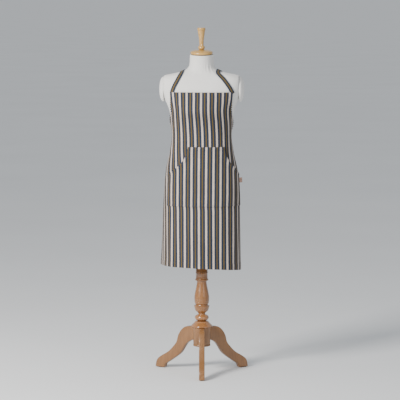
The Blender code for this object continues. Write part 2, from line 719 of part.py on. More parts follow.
def make_finial(neck):
    """Ball and flared stem, turned from one piece, on the screw that holds it."""
    axis = add_axis("finial_axis", (0, 0, COVER_OUTSIDE + CAP_HEIGHT + CLEARANCE), neck)
    ball = FINIAL_BALL_RADIUS
    bore = FINIAL_SCREW_RADIUS + CLEARANCE
    depth = FINIAL_SCREW_LENGTH / 2
    foot = math.degrees(math.acos(0.6))
    squash = 0.76
    belly = [(r, z * squash) for r, z in arc((0, ball), ball, -foot, foot - 8, 6)]
    stem_low = belly[-1][1] + 0.001
    top, wide = FINIAL_HEIGHT, FINIAL_RADIUS
    profile = [(bore, belly[0][1])] + belly
    profile += [(wide * 0.51, stem_low + 0.001), (wide * 0.66, top * 0.55), (wide * 0.86, top * 0.80)]
    profile += [(wide - 0.0016, top - 0.0145), (wide - 0.0024, top - 0.0135), (wide - 0.0005, top - 0.012)]
    profile += [(wide, top - 0.003), (wide - 0.002, top), (0, top), (0, belly[0][1] + depth)]
    profile += [(bore, belly[0][1] + depth)]
    bm = turned(profile + [profile[0]])
    bmesh.ops.translate(bm, vec=(0, 0, -belly[0][1]), verts=bm.verts)
    add_piece("finial", bm, "golden_wood", axis, 50)
    screw = cylinder(FINIAL_SCREW_RADIUS, (0, 0, -FINIAL_SCREW_LENGTH / 2 + 0.001), (0, 0, depth - 0.001), 12)
    add_piece("finial_screw", screw, "steel", axis)


# ---------------------------------------------------------------- apron
def apron_section(height):
    """The oval that the cloth follows: the form plus its clearance, or the free-hanging skirt."""
    half, front, back, square, _ = eased(FORM_SECTIONS, max(height, FORM_BOTTOM))
    bust = BUST_CLOTH_RISE * math.exp(-((height - BUST_Z) / BUST_SPREAD) ** 2)
    worn = (half, front + bust, back)
    hang = eased(HANG_SECTIONS, height)
    return [max(a + APRON_INSIDE, b) for a, b in zip(worn, hang)], square


def apron_point(height, across):
    """The cloth's inner face at a height, a length of cloth away from the middle of the front."""
    (half, front, back), square = apron_section(height)
    power = 2 / square
    limit = ARMHOLE_X + APRON_INSIDE
    steps = 240
    walked = 0.0
    last = Vector((0, -front, height))
    for i in range(1, steps + 1):
        angle = math.pi * i / steps
        depth = front if math.cos(angle) > 0 else back
        x = half * math.sin(angle) ** power if i < steps else 0.0
        y = -math.copysign(depth * abs(math.cos(angle)) ** power, math.cos(angle))
        point = Vector((min(x, limit) if height > WAIST_CORNER else x, y, height))
        walked += (point - last).length
        if walked >= abs(across):
            over = (walked - abs(across)) / max((point - last).length, 1e-9)
            point = point.lerp(last, over)
            break
        last = point
    return Vector((math.copysign(point.x, across), point.y, height))


def apron_half_width(height):
    """Half the flat width: the bib, its hollow armhole curve, and the straight skirt."""
    if height <= WAIST_CORNER:
        return SKIRT_HALF_WIDTH
    share = (BIB_TOP - height) / (BIB_TOP - WAIST_CORNER)
    return BIB_HALF_WIDTH + (SKIRT_HALF_WIDTH - BIB_HALF_WIDTH) * share ** 2.1


def bib_shift(height):
    """How far the cloth's middle has moved to the form's left, from the waist up to the bib's top."""
    return BIB_SHIFT * max(height - WAIST_CORNER, 0.0) / (BIB_TOP - WAIST_CORNER)


def make_apron(torso):
    """The main panel: bib, armhole curves and skirt in one piece of cloth, with its hem a little aslant."""
    rows = []
    for z in APRON_ROWS:
        half = apron_half_width(z)
        row = []
        for c in range(APRON_COLUMNS + 1):
            across = half * (2 * c / APRON_COLUMNS - 1) + bib_shift(z)
            drop = HEM_SLOPE * across + HEM_BOW * across ** 2 if z == HEM else 0.0
            row.append(apron_point(z - drop, across))
        rows.append(row)
    return add_piece("apron_panel", shell(rows, 0.0, CLOTH_THICKNESS, False), "striped_cloth", torso, 60)


def pocket_half_width(height):
    if height <= POCKET_CORNER:
        return POCKET_HALF_WIDTH
    share = (POCKET_TOP - height) / (POCKET_TOP - POCKET_CORNER)
    flare = POCKET_HALF_WIDTH - POCKET_TOP_HALF_WIDTH
    return POCKET_TOP_HALF_WIDTH + flare * share ** POCKET_OPENING_CURVE


def make_pocket(torso):
    """The wide two-hand pocket sewn on the front, with slanted hand openings."""
    rows = []
    for z in POCKET_ROWS:
        half = pocket_half_width(z)
        rows.append([
            apron_point(z, POCKET_CENTRE + half * (2 * c / POCKET_COLUMNS - 1))
            for c in range(POCKET_COLUMNS + 1)
        ])
    bm = shell(rows, POCKET_INSIDE, POCKET_INSIDE + CLOTH_THICKNESS, False)
    return add_piece("pocket_panel", bm, "striped_cloth", torso, 60)


def ribbon(path, normals, width, thickness):
    """A flat band of cloth along a path; its lower face is on the path."""
    rings = []
    for i, (point, normal) in enumerate(zip(path, normals)):
        along = (path[min(i + 1, len(path) - 1)] - path[max(i - 1, 0)]).normalized()
        normal = (normal - along * normal.dot(along)).normalized()
        side = along.cross(normal) * width / 2
        top = normal * thickness
        rings.append([point - side, point + side, point + side + top, point - side + top])
    return loft(rings)


def surface_tree():
    """The jersey cover's outer face, for bands that lie on it."""
    rows = form_grid()
    normals = grid_normals(rows, True)
    count = FORM_COLUMNS
    points = [p + n * COVER_OUTSIDE for line, ns in zip(rows, normals) for p, n in zip(line, ns)]
    faces = []
    for r in range(len(rows) - 1):
        for c in range(count):
            d = (c + 1) % count
            faces.append((r * count + c, r * count + d, (r + 1) * count + d, (r + 1) * count + c))
    return BVHTree.FromPolygons(points, faces)


def laid_on(tree, points, clearance):
    """The points moved onto the surface, a clearance above it, with the normals there."""
    path, normals = [], []
    for point in points:
        place, normal, _, _ = tree.find_nearest(Vector(point))
        if normal.dot(Vector((point[0], point[1], 0.02))) < 0:
            normal = -normal
        path.append(place + normal * clearance)
        normals.append(normal)
    eased_normals = []
    for i in range(len(normals)):
        near = normals[max(i - 1, 0)] + normals[i] * 2 + normals[min(i + 1, len(normals) - 1)]
        eased_normals.append(near.normalized())
    return path, eased_normals


def strap_half(start):
    """The strap's way from one corner of the bib over the shoulder to the nape."""
    across = start - STRAP_START_RIGHT
    return [
        (start, -0.110, BIB_TOP + 0.010), (0.126 + across * 0.7, -0.100, 1.425),
        (0.106 + across * 0.3, -0.085, 1.463), (0.096, -0.050, 1.490), (0.090, -0.005, 1.497),
        (0.083, 0.035, 1.496), (0.052, 0.068, 1.492), (0.0, 0.080, 1.490),
    ]


def make_neck_strap(torso, tree):
    """The strap from one corner of the bib round the back of the neck to the other."""
    left = smooth_line(strap_half(STRAP_START_LEFT), 3)
    right = [(-x, y, z) for x, y, z in smooth_line(strap_half(STRAP_START_RIGHT), 3)[:-1]]
    path, normals = laid_on(tree, right + left[::-1], STRAP_CLEARANCE)
    bm = ribbon(path, normals, STRAP_WIDTH, STRAP_THICKNESS)
    return add_piece("neck_strap", bm, "strap_cloth", torso, 50)


def back_depth(height):
    """How far behind the axis the cloth's line lies, at the middle of the back."""
    (_, _, back), _ = apron_section(height)
    return back


def make_waist_tie(word, side, torso):
    """The band from the skirt's top corner to the knot at the back."""
    edge = apron_half_width(TIE_Z) + TIE_GAP
    half = half_girth(TIE_Z) - KNOT_WIDTH / 2 - 0.0008
    steps = 5
    path = [apron_point(TIE_Z, side * (edge + (half - edge) * i / steps)) for i in range(steps + 1)]
    normals = [Vector((p.x * 0.4, p.y, 0)).normalized() for p in path]
    bm = ribbon(path, normals, TIE_WIDTH, STRAP_THICKNESS)
    return add_piece(f"waist_tie_{word}", bm, "striped_cloth", torso, 50)


def half_girth(height):
    """Half the length round the cloth's oval."""
    (half, front, back), square = apron_section(height)
    power = 2 / square
    steps = 240
    total, last = 0.0, Vector((0, -front))
    for i in range(1, steps + 1):
        angle = math.pi * i / steps
        depth = front if math.cos(angle) > 0 else back
        point = Vector((half * abs(math.sin(angle)) ** power,
                        -math.copysign(depth * abs(math.cos(angle)) ** power, math.cos(angle))))
        total += (point - last).length
        last = point
    return total


def make_bow(torso, tree):
    """Knot, two loops and two hanging ends of the waist ties."""
    depth = back_depth(TIE_Z)
    knot_y = depth + KNOT_DEPTH / 2
    rings = []
    for share in (-1.0, -0.8, 0.8, 1.0):
        size = 1.0 if abs(share) < 0.9 else 0.72
        rings.append([
            Vector((KNOT_WIDTH / 2 * size * math.cos(math.tau * i / 12),
                    knot_y + KNOT_DEPTH / 2 * size * math.sin(math.tau * i / 12),
                    TIE_Z + share * KNOT_HEIGHT / 2))
            for i in range(12)
        ])
    add_piece("bow_knot", loft(rings), "striped_cloth", torso, 60)
    for side, word in ((-1, "right"), (1, "left")):
        add_piece(f"bow_loop_{word}", loop_shape(side, knot_y), "striped_cloth", torso, 60)
        add_piece(f"tie_end_{word}", tail_shape(side, tree), "striped_cloth", torso, 60)


def loop_shape(side, knot_y):
    """One loop of the bow: out from the knot, round, and back in, drooping a little."""
    start = KNOT_WIDTH / 2 + 0.0016
    line = []
    for i in range(17):
        turn = math.pi * 2 * (i / 16)
        out = (1 - math.cos(turn)) / 2
        x = start + LOOP_LENGTH * out
        y = knot_y + 0.006 + 0.004 * out + LOOP_BULGE * math.sin(turn) * (0.25 + 0.75 * out)
        line.append(Vector((side * x, y, TIE_Z - 0.022 * out)))
    line[0].y += 0.0012
    line[-1].y -= 0.0012
    centre = Vector((side * (start + LOOP_LENGTH * 0.6), knot_y + 0.009, TIE_Z))
    normals = []
    for i, p in enumerate(line):
        along = (line[min(i + 1, 16)] - line[max(i - 1, 0)]).normalized()
        normal = Vector((-along.y, along.x, 0))
        outward = Vector((p.x - centre.x, p.y - centre.y, 0))
        normals.append(normal if normal.dot(outward) > 0 else -normal)
    return ribbon(line, normals, TIE_WIDTH, STRAP_THICKNESS)


def tail_shape(side, tree):
    """One free end of the waist tie, hanging down over the back of the form."""
    start = TIE_Z - KNOT_HEIGHT / 2 - 0.001
    points = []
    steps = 10
    for i in range(steps + 1):
        share = i / steps
        x = 0.008 + TAIL_SPREAD * share ** 0.8 + TIE_WIDTH * 0.25
        points.append((side * x, 0.2, start - TAIL_LENGTH * share))
    path, normals = [], []
    for x, _, z in points:
        place, normal, _, _ = tree.ray_cast(Vector((x, 0.4, z)), Vector((0, -1, 0)))
        lift = Vector((0, STRAP_CLEARANCE + 0.001, 0))
        path.append(place + lift)
        normals.append(Vector((0, 1, 0)))
    return ribbon(path, normals, TIE_WIDTH, STRAP_THICKNESS)


def make_label(torso):
    """The small blank tab caught in the pocket's side seam."""
    across = POCKET_CENTRE + POCKET_HALF_WIDTH + 0.003
    base = apron_point(LABEL_Z, across)
    near = apron_point(LABEL_Z, across - 0.004)
    tangent = (base - near).normalized()
    normal = Vector((0, 0, 1)).cross(tangent)
    if normal.dot(Vector((base.x, base.y, 0))) < 0:
        normal = -normal
    low = CLOTH_THICKNESS + 0.0008
    rings = []
    for out in (low, low + LABEL_WIDTH):
        corner = base + normal * out
        side = tangent * LABEL_THICKNESS / 2
        rise = Vector((0, 0, LABEL_HEIGHT / 2))
        rings.append([corner - side - rise, corner + side - rise, corner + side + rise, corner - side + rise])
    return add_piece("side_label", loft(rings), "label_cloth", torso, 30)


# ---------------------------------------------------------------- whole object
def clear_scene():
    for piece in list(bpy.data.objects):
        bpy.data.objects.remove(piece, do_unlink=True)


def make_stand():
    """Everything that stands still when the form is raised or turned."""
    stand = add_axis("stand_axis", (0, 0, 0))
    for index, word in enumerate(("front", "left", "right")):
        make_leg(f"leg_{word}", index, stand)
        make_pad(f"foot_pad_{word}", index, stand)
        bolt = bolt_shape(index, BOLT_RADIUS, 0.0)
        add_piece(f"leg_bolt_{word}", bolt, "black_steel", stand)
    make_hub(stand)
    make_rod_and_fittings(stand)
    make_turning(stand)
    make_baluster(stand)
    make_column(stand)
    make_collar(stand)
    make_clamp_screw(stand)
    return stand


def make_worn_form(stand):
    """Pole, dress form and apron: all that slides up and turns on the stand."""
    slide = add_axis("pole_axis", (0, 0, 0), stand)
    make_pole(slide)
    torso = add_axis("form_axis", (0, 0, 0), slide, (0, 0, FORM_YAW))
    make_form(torso)
    make_base_board(torso)
    make_socket(torso)
    make_arm_cap("right", -1, torso)
    make_arm_cap("left", 1, torso)
    top = FORM_SECTIONS[-1]
    neck = add_axis("neck_axis", (0, (top[3] - top[2]) / 2, top[0]), torso, (NECK_TILT, 0, 0))
    make_neck_cap(neck)
    make_finial(neck)
    tree = surface_tree()
    make_apron(torso)
    make_pocket(torso)
    make_neck_strap(torso, tree)
    make_waist_tie("right", -1, torso)
    make_waist_tie("left", 1, torso)
    make_bow(torso, tree)
    make_label(torso)


def centre_on_floor(root):
    """Moves the whole object so that the middle of its box's bottom is the origin."""
    bpy.context.view_layer.update()
    graph = bpy.context.evaluated_depsgraph_get()
    low, high = Vector((9, 9, 9)), Vector((-9, -9, -9))
    for piece in bpy.data.objects:
        if piece.type != "MESH" or piece.hide_render:
            continue
        shown = piece.evaluated_get(graph)
        for vertex in shown.data.vertices:
            place = shown.matrix_world @ vertex.co
            low = Vector(map(min, low, place))
            high = Vector(map(max, high, place))
    root.location = (-(low.x + high.x) / 2, -(low.y + high.y) / 2, -low.z)
    bpy.context.view_layer.update()


clear_scene()
STAND = make_stand()
make_worn_form(STAND)
centre_on_floor(STAND)
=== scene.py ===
"""The looks of a striped bib apron, worn by a covered dress form on a turned wooden tripod.

Metres, +Z up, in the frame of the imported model. The front faces -Y and +X is the form's left.
"Form-local" places have the pole's axis through the origin and the form's front straight at -Y.
"""

import json
import math
from functools import lru_cache

import bmesh
import bpy
import numpy as np
from mathutils import Matrix, Vector
from mathutils.bvhtree import BVHTree


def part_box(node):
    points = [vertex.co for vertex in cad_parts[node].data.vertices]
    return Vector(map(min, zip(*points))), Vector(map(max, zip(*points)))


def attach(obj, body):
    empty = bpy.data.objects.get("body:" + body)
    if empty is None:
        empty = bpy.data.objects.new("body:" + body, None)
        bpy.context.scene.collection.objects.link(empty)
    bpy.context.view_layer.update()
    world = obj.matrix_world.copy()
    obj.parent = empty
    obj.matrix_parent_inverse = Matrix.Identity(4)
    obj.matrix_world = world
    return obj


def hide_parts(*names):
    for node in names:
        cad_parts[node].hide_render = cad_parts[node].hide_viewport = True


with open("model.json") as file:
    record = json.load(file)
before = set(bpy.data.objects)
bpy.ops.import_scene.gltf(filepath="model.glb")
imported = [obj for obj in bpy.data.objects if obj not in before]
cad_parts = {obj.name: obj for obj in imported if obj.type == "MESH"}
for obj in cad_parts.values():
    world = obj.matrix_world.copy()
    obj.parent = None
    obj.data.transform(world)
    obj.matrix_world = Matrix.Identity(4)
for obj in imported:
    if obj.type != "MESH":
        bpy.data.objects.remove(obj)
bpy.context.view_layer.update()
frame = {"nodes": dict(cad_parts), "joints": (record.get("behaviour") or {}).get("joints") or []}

# ---------------------------------------------------------------- sizes shared with the frame
CLEARANCE = 0.0003

LEG_REACH = 0.262
LEG_THICKNESS = 0.028
LEG_BEVEL = 0.0035
HEEL_RADIUS = 0.2110
PAD_HEIGHT = 0.003
PAD_RADIUS = 0.012
LEG_WORDS = ("front", "left", "right")

HUB_BOTTOM = 0.129
HUB_TOP = 0.225
HUB_LOW_RADIUS = 0.0415
HUB_HIGH_RADIUS = 0.0455
FLANGE_RADIUS = 0.0535
TURNING_HEIGHT = 0.0665
BEAD_RADIUS = 0.0355
NECK_RADIUS = 0.0170
BALUSTER_HEIGHT = 0.1655
BALUSTER_RADIUS = 0.0388
COLUMN_HEIGHT = 0.092
COLUMN_RADIUS = 0.0292
COLUMN_RING_RADIUS = 0.0335
ROD_BORE_RADIUS = 0.0053
BORE_RADIUS = 0.0129
POLE_RADIUS = 0.0125
COLLAR_HEIGHT = 0.030
COLLAR_RADIUS = 0.0225
SCREW_RADIUS = 0.003
SCREW_LENGTH = 0.034
KNOB_RADIUS = 0.015
KNOB_LENGTH = 0.014
KNOB_LOBES = 6

TURNING_BOTTOM = HUB_TOP + CLEARANCE
BALUSTER_BOTTOM = TURNING_BOTTOM + TURNING_HEIGHT + CLEARANCE
COLUMN_BOTTOM = BALUSTER_BOTTOM + BALUSTER_HEIGHT + CLEARANCE
COLUMN_TOP = COLUMN_BOTTOM + COLUMN_HEIGHT
COLLAR_BOTTOM = COLUMN_TOP + CLEARANCE
COLLAR_MIDDLE = COLLAR_BOTTOM + COLLAR_HEIGHT / 2
BORE_BOTTOM = COLUMN_TOP - 0.120 - 0.110

FORM_BOTTOM = 0.790
FORM_TOP = 1.577
COVER_INSIDE = 0.0003
COVER_OUTSIDE = 0.0015
ARMHOLE_X = 0.184
BUST_X = 0.076
BUST_Z = 1.305
BUST_SPREAD = 0.048
BUST_RISE = 0.016
BUST_CLOTH_RISE = 0.023
NECK_TILT = math.radians(5.5)
BOARD_BOTTOM = 0.795
BOARD_TOP = 0.813
SOCKET_OUTER_RADIUS = 0.0164

ARM_CAP_Z = 1.407
ARM_CAP_HALF_HEIGHT = 0.0615
ARM_CAP_HALF_DEPTH = 0.050
ARM_CAP_RISE = 0.0235
ARM_PEG_RADIUS = 0.010
ARM_PEG_LENGTH = 0.018
CAP_RADIUS = 0.0555
CAP_HEIGHT = 0.0225
CAP_RIM = 0.008
FINIAL_HEIGHT = 0.1105
FINIAL_RADIUS = 0.020
FINIAL_BALL_RADIUS = 0.0167
FINIAL_BORE_RADIUS = 0.0038
FINIAL_BORE_DEPTH = 0.013

APRON_INSIDE = 0.0057
BIB_TOP = 1.3955
BIB_HALF_WIDTH = 0.158
BIB_SHIFT = 0.006
WAIST_CORNER = 1.112
SKIRT_HALF_WIDTH = 0.330
HEM = 0.536
HEM_SLOPE = 0.0426
HEM_BOW = 0.13
HEM_SLOPE_TOP = 0.600
POCKET_TOP = 1.128
POCKET_CORNER = 0.985
POCKET_BOTTOM = 0.838
POCKET_CENTRE = 0.031
POCKET_TOP_HALF_WIDTH = 0.091
POCKET_HALF_WIDTH = 0.213
POCKET_OPENING_CURVE = 2.3
STRAP_WIDTH = 0.021
STRAP_START_RIGHT = 0.140
STRAP_START_LEFT = 0.157
TIE_WIDTH = 0.024
TIE_Z = 1.096
KNOT_WIDTH = 0.026
KNOT_HEIGHT = 0.028
KNOT_DEPTH = 0.014
LOOP_LENGTH = 0.085
TAIL_LENGTH = 0.290
TAIL_SPREAD = 0.060
LABEL_HEIGHT = 0.025
LABEL_WIDTH = 0.016
LABEL_Z = 0.959

# height, half width, front and back depth, squareness of the oval, forward tilt in degrees
FORM_SECTIONS = (
    (FORM_BOTTOM, 0.168, 0.112, 0.108, 2.2, 0.0),
    (0.900, 0.180, 0.118, 0.122, 2.2, 0.0),
    (1.000, 0.172, 0.112, 0.116, 2.2, 0.0),
    (1.100, 0.151, 0.102, 0.098, 2.2, 0.0),
    (1.180, 0.141, 0.092, 0.088, 2.2, 0.0),
    (1.250, 0.149, 0.104, 0.092, 2.2, 0.0),
    (1.310, 0.160, 0.113, 0.100, 2.2, 0.0),
    (1.360, 0.181, 0.108, 0.104, 2.3, 0.0),
    (1.420, 0.203, 0.096, 0.104, 2.4, 0.0),
    (1.455, 0.204, 0.082, 0.096, 2.4, 0.0),
    (1.471, 0.186, 0.074, 0.088, 2.3, 0.0),
    (1.482, 0.138, 0.068, 0.080, 2.2, 0.0),
    (1.493, 0.094, 0.065, 0.070, 2.1, 0.5),
    (1.507, 0.070, 0.063, 0.062, 2.0, 1.5),
    (1.527, 0.0592, 0.063, 0.057, 2.0, 3.0),
    (FORM_TOP, 0.0560, 0.066, 0.046, 2.0, math.degrees(NECK_TILT)),
)
# where the skirt hangs clear of the form: height, half width, front and back depth
HANG_SECTIONS = (
    (HEM, 0.197, 0.152, 0.140),
    (0.750, 0.192, 0.140, 0.134),
    (0.900, 0.186, 0.124, 0.128),
    (1.000, 0.150, 0.100, 0.100),
    (FORM_TOP, 0.010, 0.010, 0.010),
)

FLUTE_DEPTH = 0.0050
FLUTE_PITCH = 0.168
CREASE_DEPTH = 0.0012
CREASE_PITCH = 0.071
GATHER_DEPTH = 0.0040
GATHER_PITCH = 0.0110
TUG_DEPTH = 0.0016
TUG_PITCH = 0.024
SINGLE_CLOTH = 0.0010
PANEL_HEM_CLOTH = 0.0009
POCKET_HEM_CLOTH = 0.0008
POCKET_OFFSET = 0.0024
STITCH_PITCH = 0.0032
THREAD_RADIUS = 0.0003
STITCH_LIFT = 0.00165
STRAP_CLEARANCE = 0.0030
STRAP_THICKNESS = 0.0018
# in front of this depth the strap is laid on the form straight from the front
STRAP_FRONT = -0.05
BAND_COLUMNS = 8
CLOTH_SHARP_ANGLE = 60
ARM_CAP_LIP = {"left": 0.0016, "right": 0.0004}

# the cloth's stripes
STRIPE_REPEAT = 0.0354
PANEL_STRIPE_START = -0.0002
POCKET_STRIPE_START = 0.0312
# the panel's stripes lean to the form's left on the way down: height, sideways shift
STRIPE_LEAN = ((BIB_TOP, 0.0), (1.125, 0.0133), (0.815, 0.0330), (HEM, 0.0355))

# the stand's place and the form's turn on it
_low, _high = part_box("pole")
STAND_Y = (_low.y + _high.y) / 2
_pull = next(joint for joint in frame["joints"] if joint["name"] == "arm_cap_left_pull")
FORM_YAW = math.atan2(_pull["axis"][1], _pull["axis"][0])
STAND_PLACE = Matrix.Translation((0, STAND_Y, 0))
FORM_PLACE = STAND_PLACE @ Matrix.Rotation(FORM_YAW, 4, "Z")


# ---------------------------------------------------------------- camera, floor and light
def make_camera():
    """A long lens a little above the form's neck, looking slightly down."""
    distance, height = 10.0, 1.9
    pitch = math.radians(5.945)
    data = bpy.data.cameras.new("camera")
    data.sensor_width = 36.0
    data.lens = 182.97
    data.clip_end = 4000
    camera = bpy.data.objects.new("camera", data)
    camera.location = (-0.0088, STAND_Y - distance, height)
    camera.rotation_euler = (math.pi / 2 - pitch, 0, 0)
    bpy.context.scene.collection.objects.link(camera)
    bpy.context.scene.camera = camera


def add_area_light(name, place, aim, size, power, colour):
    data = bpy.data.lights.new(name, "AREA")
    data.shape = "RECTANGLE"
    data.size, data.size_y = size
    data.energy = power
    data.color = colour
    lamp = bpy.data.objects.new(name, data)
    lamp.location = place
    lamp.rotation_euler = (Vector(aim) - Vector(place)).to_track_quat("-Z", "Y").to_euler()
    bpy.context.scene.collection.objects.link(lamp)


def make_light():
    """One soft key from the front left, a weak fill, and a pale room."""
    add_area_light("key", (-3.2, -3.4, 3.1), (0, 0, 1.0), (1.4, 1.8), 430, (1.0, 0.97, 0.93))
    add_area_light("fill", (3.5, -4.5, 2.2), (0, 0, 0.9), (2.5, 2.5), 30, (0.92, 0.96, 1.0))
    world = bpy.data.worlds.new("pale_room")
    world.use_nodes = True
    world.node_tree.nodes["Background"].inputs["Color"].default_value = (0.80, 0.83, 0.86, 1)
    world.node_tree.nodes["Background"].inputs["Strength"].default_value = 0.72
    bpy.context.scene.world = world


def make_floor():
    mesh = bpy.data.meshes.new("floor")
    reach = 1500.0
    mesh.from_pydata([(-reach, -reach, 0), (reach, -reach, 0), (reach, reach, 0), (-reach, reach, 0)],
                     [], [(0, 1, 2, 3)])
    mesh.materials.append(floor_paint())
    floor = bpy.data.objects.new("floor", mesh)
    bpy.context.scene.collection.objects.link(floor)


# ---------------------------------------------------------------- node helpers
def node(tree, kind, inputs=(), **settings):
    """Adds a node, sets its options and feeds its inputs with values, sockets or other nodes."""
    made = tree.nodes.new(kind)
    for option, value in settings.items():
        setattr(made, option, value)
    pairs = inputs.items() if isinstance(inputs, dict) else enumerate(inputs)
    for key, value in pairs:
        if isinstance(value, bpy.types.Node):
            value = value.outputs[0]
        if isinstance(value, bpy.types.NodeSocket):
            tree.links.new(value, made.inputs[key])
        elif value is not None:
            made.inputs[key].default_value = value
    return made


def maths(tree, operation, *values):
    return node(tree, "ShaderNodeMath", values, operation=operation)


def sum_of(tree, a, b):
    return maths(tree, "ADD", a, b)


def product(tree, a, b):
    return maths(tree, "MULTIPLY", a, b)


def ranged(tree, value, low, high, from_low=0.0, from_high=1.0):
    """Maps a value from one range to another."""
    return node(tree, "ShaderNodeMapRange", [value, from_low, from_high, low, high])


def mixed(tree, factor, first, second, blend="MIX"):
    made = tree.nodes.new("ShaderNodeMix")
    made.data_type = "RGBA"
    made.blend_type = blend
    for index, value in ((0, factor), (6, first), (7, second)):
        if isinstance(value, bpy.types.Node):
            value = value.outputs[0]
        if isinstance(value, bpy.types.NodeSocket):
            tree.links.new(value, made.inputs[index])
        else:
            made.inputs[index].default_value = value
    return made.outputs[2]


def shaded(tree, colour, share):
    """A colour times a share."""
    return mixed(tree, 1.0, colour, share, "MULTIPLY")


def noise(tree, place, scale, detail=2.0, rough=0.5):
    return node(tree, "ShaderNodeTexNoise",
                {"Vector": place, "Scale": scale, "Detail": detail, "Roughness": rough})


def ramp(tree, value, stops):
    """A colour ramp with (place, colour) stops."""
    made = node(tree, "ShaderNodeValToRGB", [value])
    points = made.color_ramp.elements
    while len(points) < len(stops):
        points.new(0.5)
    for point, (place, colour) in zip(points, stops):
        point.position = place
        point.color = (*colour, 1)
    return made


def feed(tree, shader, label, value):
    """Links a node or a socket to one of the shader's inputs."""
    if isinstance(value, bpy.types.Node):
        value = value.outputs[0]
    tree.links.new(value, shader.inputs[label])


def bump(tree, shader, height, strength, distance):
    made = node(tree, "ShaderNodeBump",
                {"Strength": strength, "Distance": distance, "Height": height})
    feed(tree, shader, "Normal", made)


def new_material(name, **constants):
    """A material, its tree and its shader, with the shader's fixed values set."""
    made = bpy.data.materials.new(name)
    made.use_nodes = True
    shader = made.node_tree.nodes["Principled BSDF"]
    for label, value in constants.items():
        shader.inputs[label.replace("_", " ")].default_value = value
    return made, made.node_tree, shader


def object_place(tree, stretch=(1, 1, 1), turn=(0, 0, 0), shift=(0, 0, 0)):
    """The object's own coordinates, shifted, turned and stretched."""
    source = node(tree, "ShaderNodeTexCoord")
    return node(tree, "ShaderNodeMapping",
                {"Vector": source.outputs["Object"], "Location": shift, "Rotation": turn,
                 "Scale": stretch})


def flat_place(tree, stretch=(1, 1, 1)):
    """The cloth's own place: metres across and along the flat cut."""
    source = node(tree, "ShaderNodeUVMap", uv_map="flat")
    return node(tree, "ShaderNodeMapping", {"Vector": source, "Scale": stretch})


# ---------------------------------------------------------------- finishes
def floor_paint():
    made, tree, shader = new_material("floor_paint", Roughness=0.85)
    cloud = noise(tree, object_place(tree), 0.7, 2)
    colour = ramp(tree, cloud, ((0.3, (0.80, 0.81, 0.82)), (0.7, (0.83, 0.84, 0.85))))
    feed(tree, shader, "Base Color", colour)
    return made


CREAM = (0.54, 0.445, 0.370)
NAVY = (0.0065, 0.0165, 0.040)
GOLD = (0.118, 0.071, 0.009)


def woven_height(tree, place, pitch):
    """Small over-and-under bumps of a plain weave."""
    parts = node(tree, "ShaderNodeSeparateXYZ", [place])
    waves = []
    for axis in (0, 1):
        turn = product(tree, parts.outputs[axis], math.pi / pitch)
        waves.append(maths(tree, "SINE", turn))
    return product(tree, waves[0], waves[1])


def cotton_finish(tree, shader, colour, pitch=0.0008):
    """Adds yarn streaks, slubs, weave bumps and uneven sheen to a cotton colour."""
    place = flat_place(tree)
    yarn = noise(tree, flat_place(tree, (1500, 40, 1)), 1.0, 2)
    weft = noise(tree, flat_place(tree, (60, 1300, 1)), 1.0, 2)
    blotch = noise(tree, place, 9.0, 3)
    streak = ranged(tree, yarn, 0.80, 1.20, 0.3, 0.7)
    colour = shaded(tree, colour, streak)
    colour = mixed(tree, ranged(tree, weft, 0.0, 0.018, 0.5, 0.75), colour, (0.45, 0.42, 0.38, 1))
    colour = shaded(tree, colour, ranged(tree, blotch, 0.92, 1.08, 0.3, 0.7))
    feed(tree, shader, "Base Color", colour)
    feed(tree, shader, "Roughness", ranged(tree, yarn, 0.78, 0.95))
    weave = woven_height(tree, place, pitch)
    slubs = product(tree, yarn, 0.8)
    bump(tree, shader, sum_of(tree, weave, slubs), 0.35, 0.00035)


def striped_cotton(name, start):
    """Cream, navy, gold and navy stripes along the cloth, from a cream stripe's middle."""
    made, tree, shader = new_material(name, Sheen_Weight=0.05, Sheen_Roughness=0.5)
    place = flat_place(tree)
    wander = noise(tree, flat_place(tree, (1, 0.35, 1)), 45.0, 2)
    across = node(tree, "ShaderNodeSeparateXYZ", [place]).outputs[0]
    across = sum_of(tree, across, ranged(tree, wander, -0.0007, 0.0007))
    across = product(tree, sum_of(tree, across, -start), 1 / STRIPE_REPEAT)
    share = maths(tree, "FRACT", sum_of(tree, across, 0.5))
    edge = 0.012
    cream_low, cream_high = 0.362, 0.638
    gold_half = 0.080
    colour = ramp(tree, share, (
        (0.0, GOLD), (gold_half - edge, GOLD), (gold_half + edge, NAVY), (cream_low - edge, NAVY),
        (cream_low + edge, CREAM), (cream_high - edge, CREAM), (cream_high + edge, NAVY),
        (1 - gold_half - edge, NAVY), (1 - gold_half + edge, GOLD), (1.0, GOLD),
    ))
    cotton_finish(tree, shader, colour.outputs[0])
    return made


def band_cotton(name, width, centre, border):
    """A narrow band: border colour at both sides and one stripe in the middle."""
    made, tree, shader = new_material(name, Sheen_Weight=0.05, Sheen_Roughness=0.5)
    across = node(tree, "ShaderNodeSeparateXYZ", [flat_place(tree)]).outputs[0]
    away = maths(tree, "ABSOLUTE", across)
    share = product(tree, away, 2 / width)
    colour = ramp(tree, share, ((0.0, centre), (0.28, centre), (0.34, border), (1.0, border)))
    cotton_finish(tree, shader, colour.outputs[0])
    return made


def plain_cloth(name, colour, pitch=0.0009):
    made, tree, shader = new_material(name, Sheen_Weight=0.1)
    cotton_finish(tree, shader, (*colour, 1), pitch)
    return made


def thread(name, colour):
    """Sewing thread: a slightly uneven tone and fuzz, with a little sheen."""
    made, tree, shader = new_material(name, Roughness=0.7, Sheen_Weight=0.25)
    fuzz = noise(tree, object_place(tree), 900.0, 2)
    tone = shaded(tree, (*colour, 1), ranged(tree, fuzz, 0.8, 1.2, 0.3, 0.7))
    feed(tree, shader, "Base Color", tone)
    bump(tree, shader, fuzz, 0.3, 0.0002)
    return made


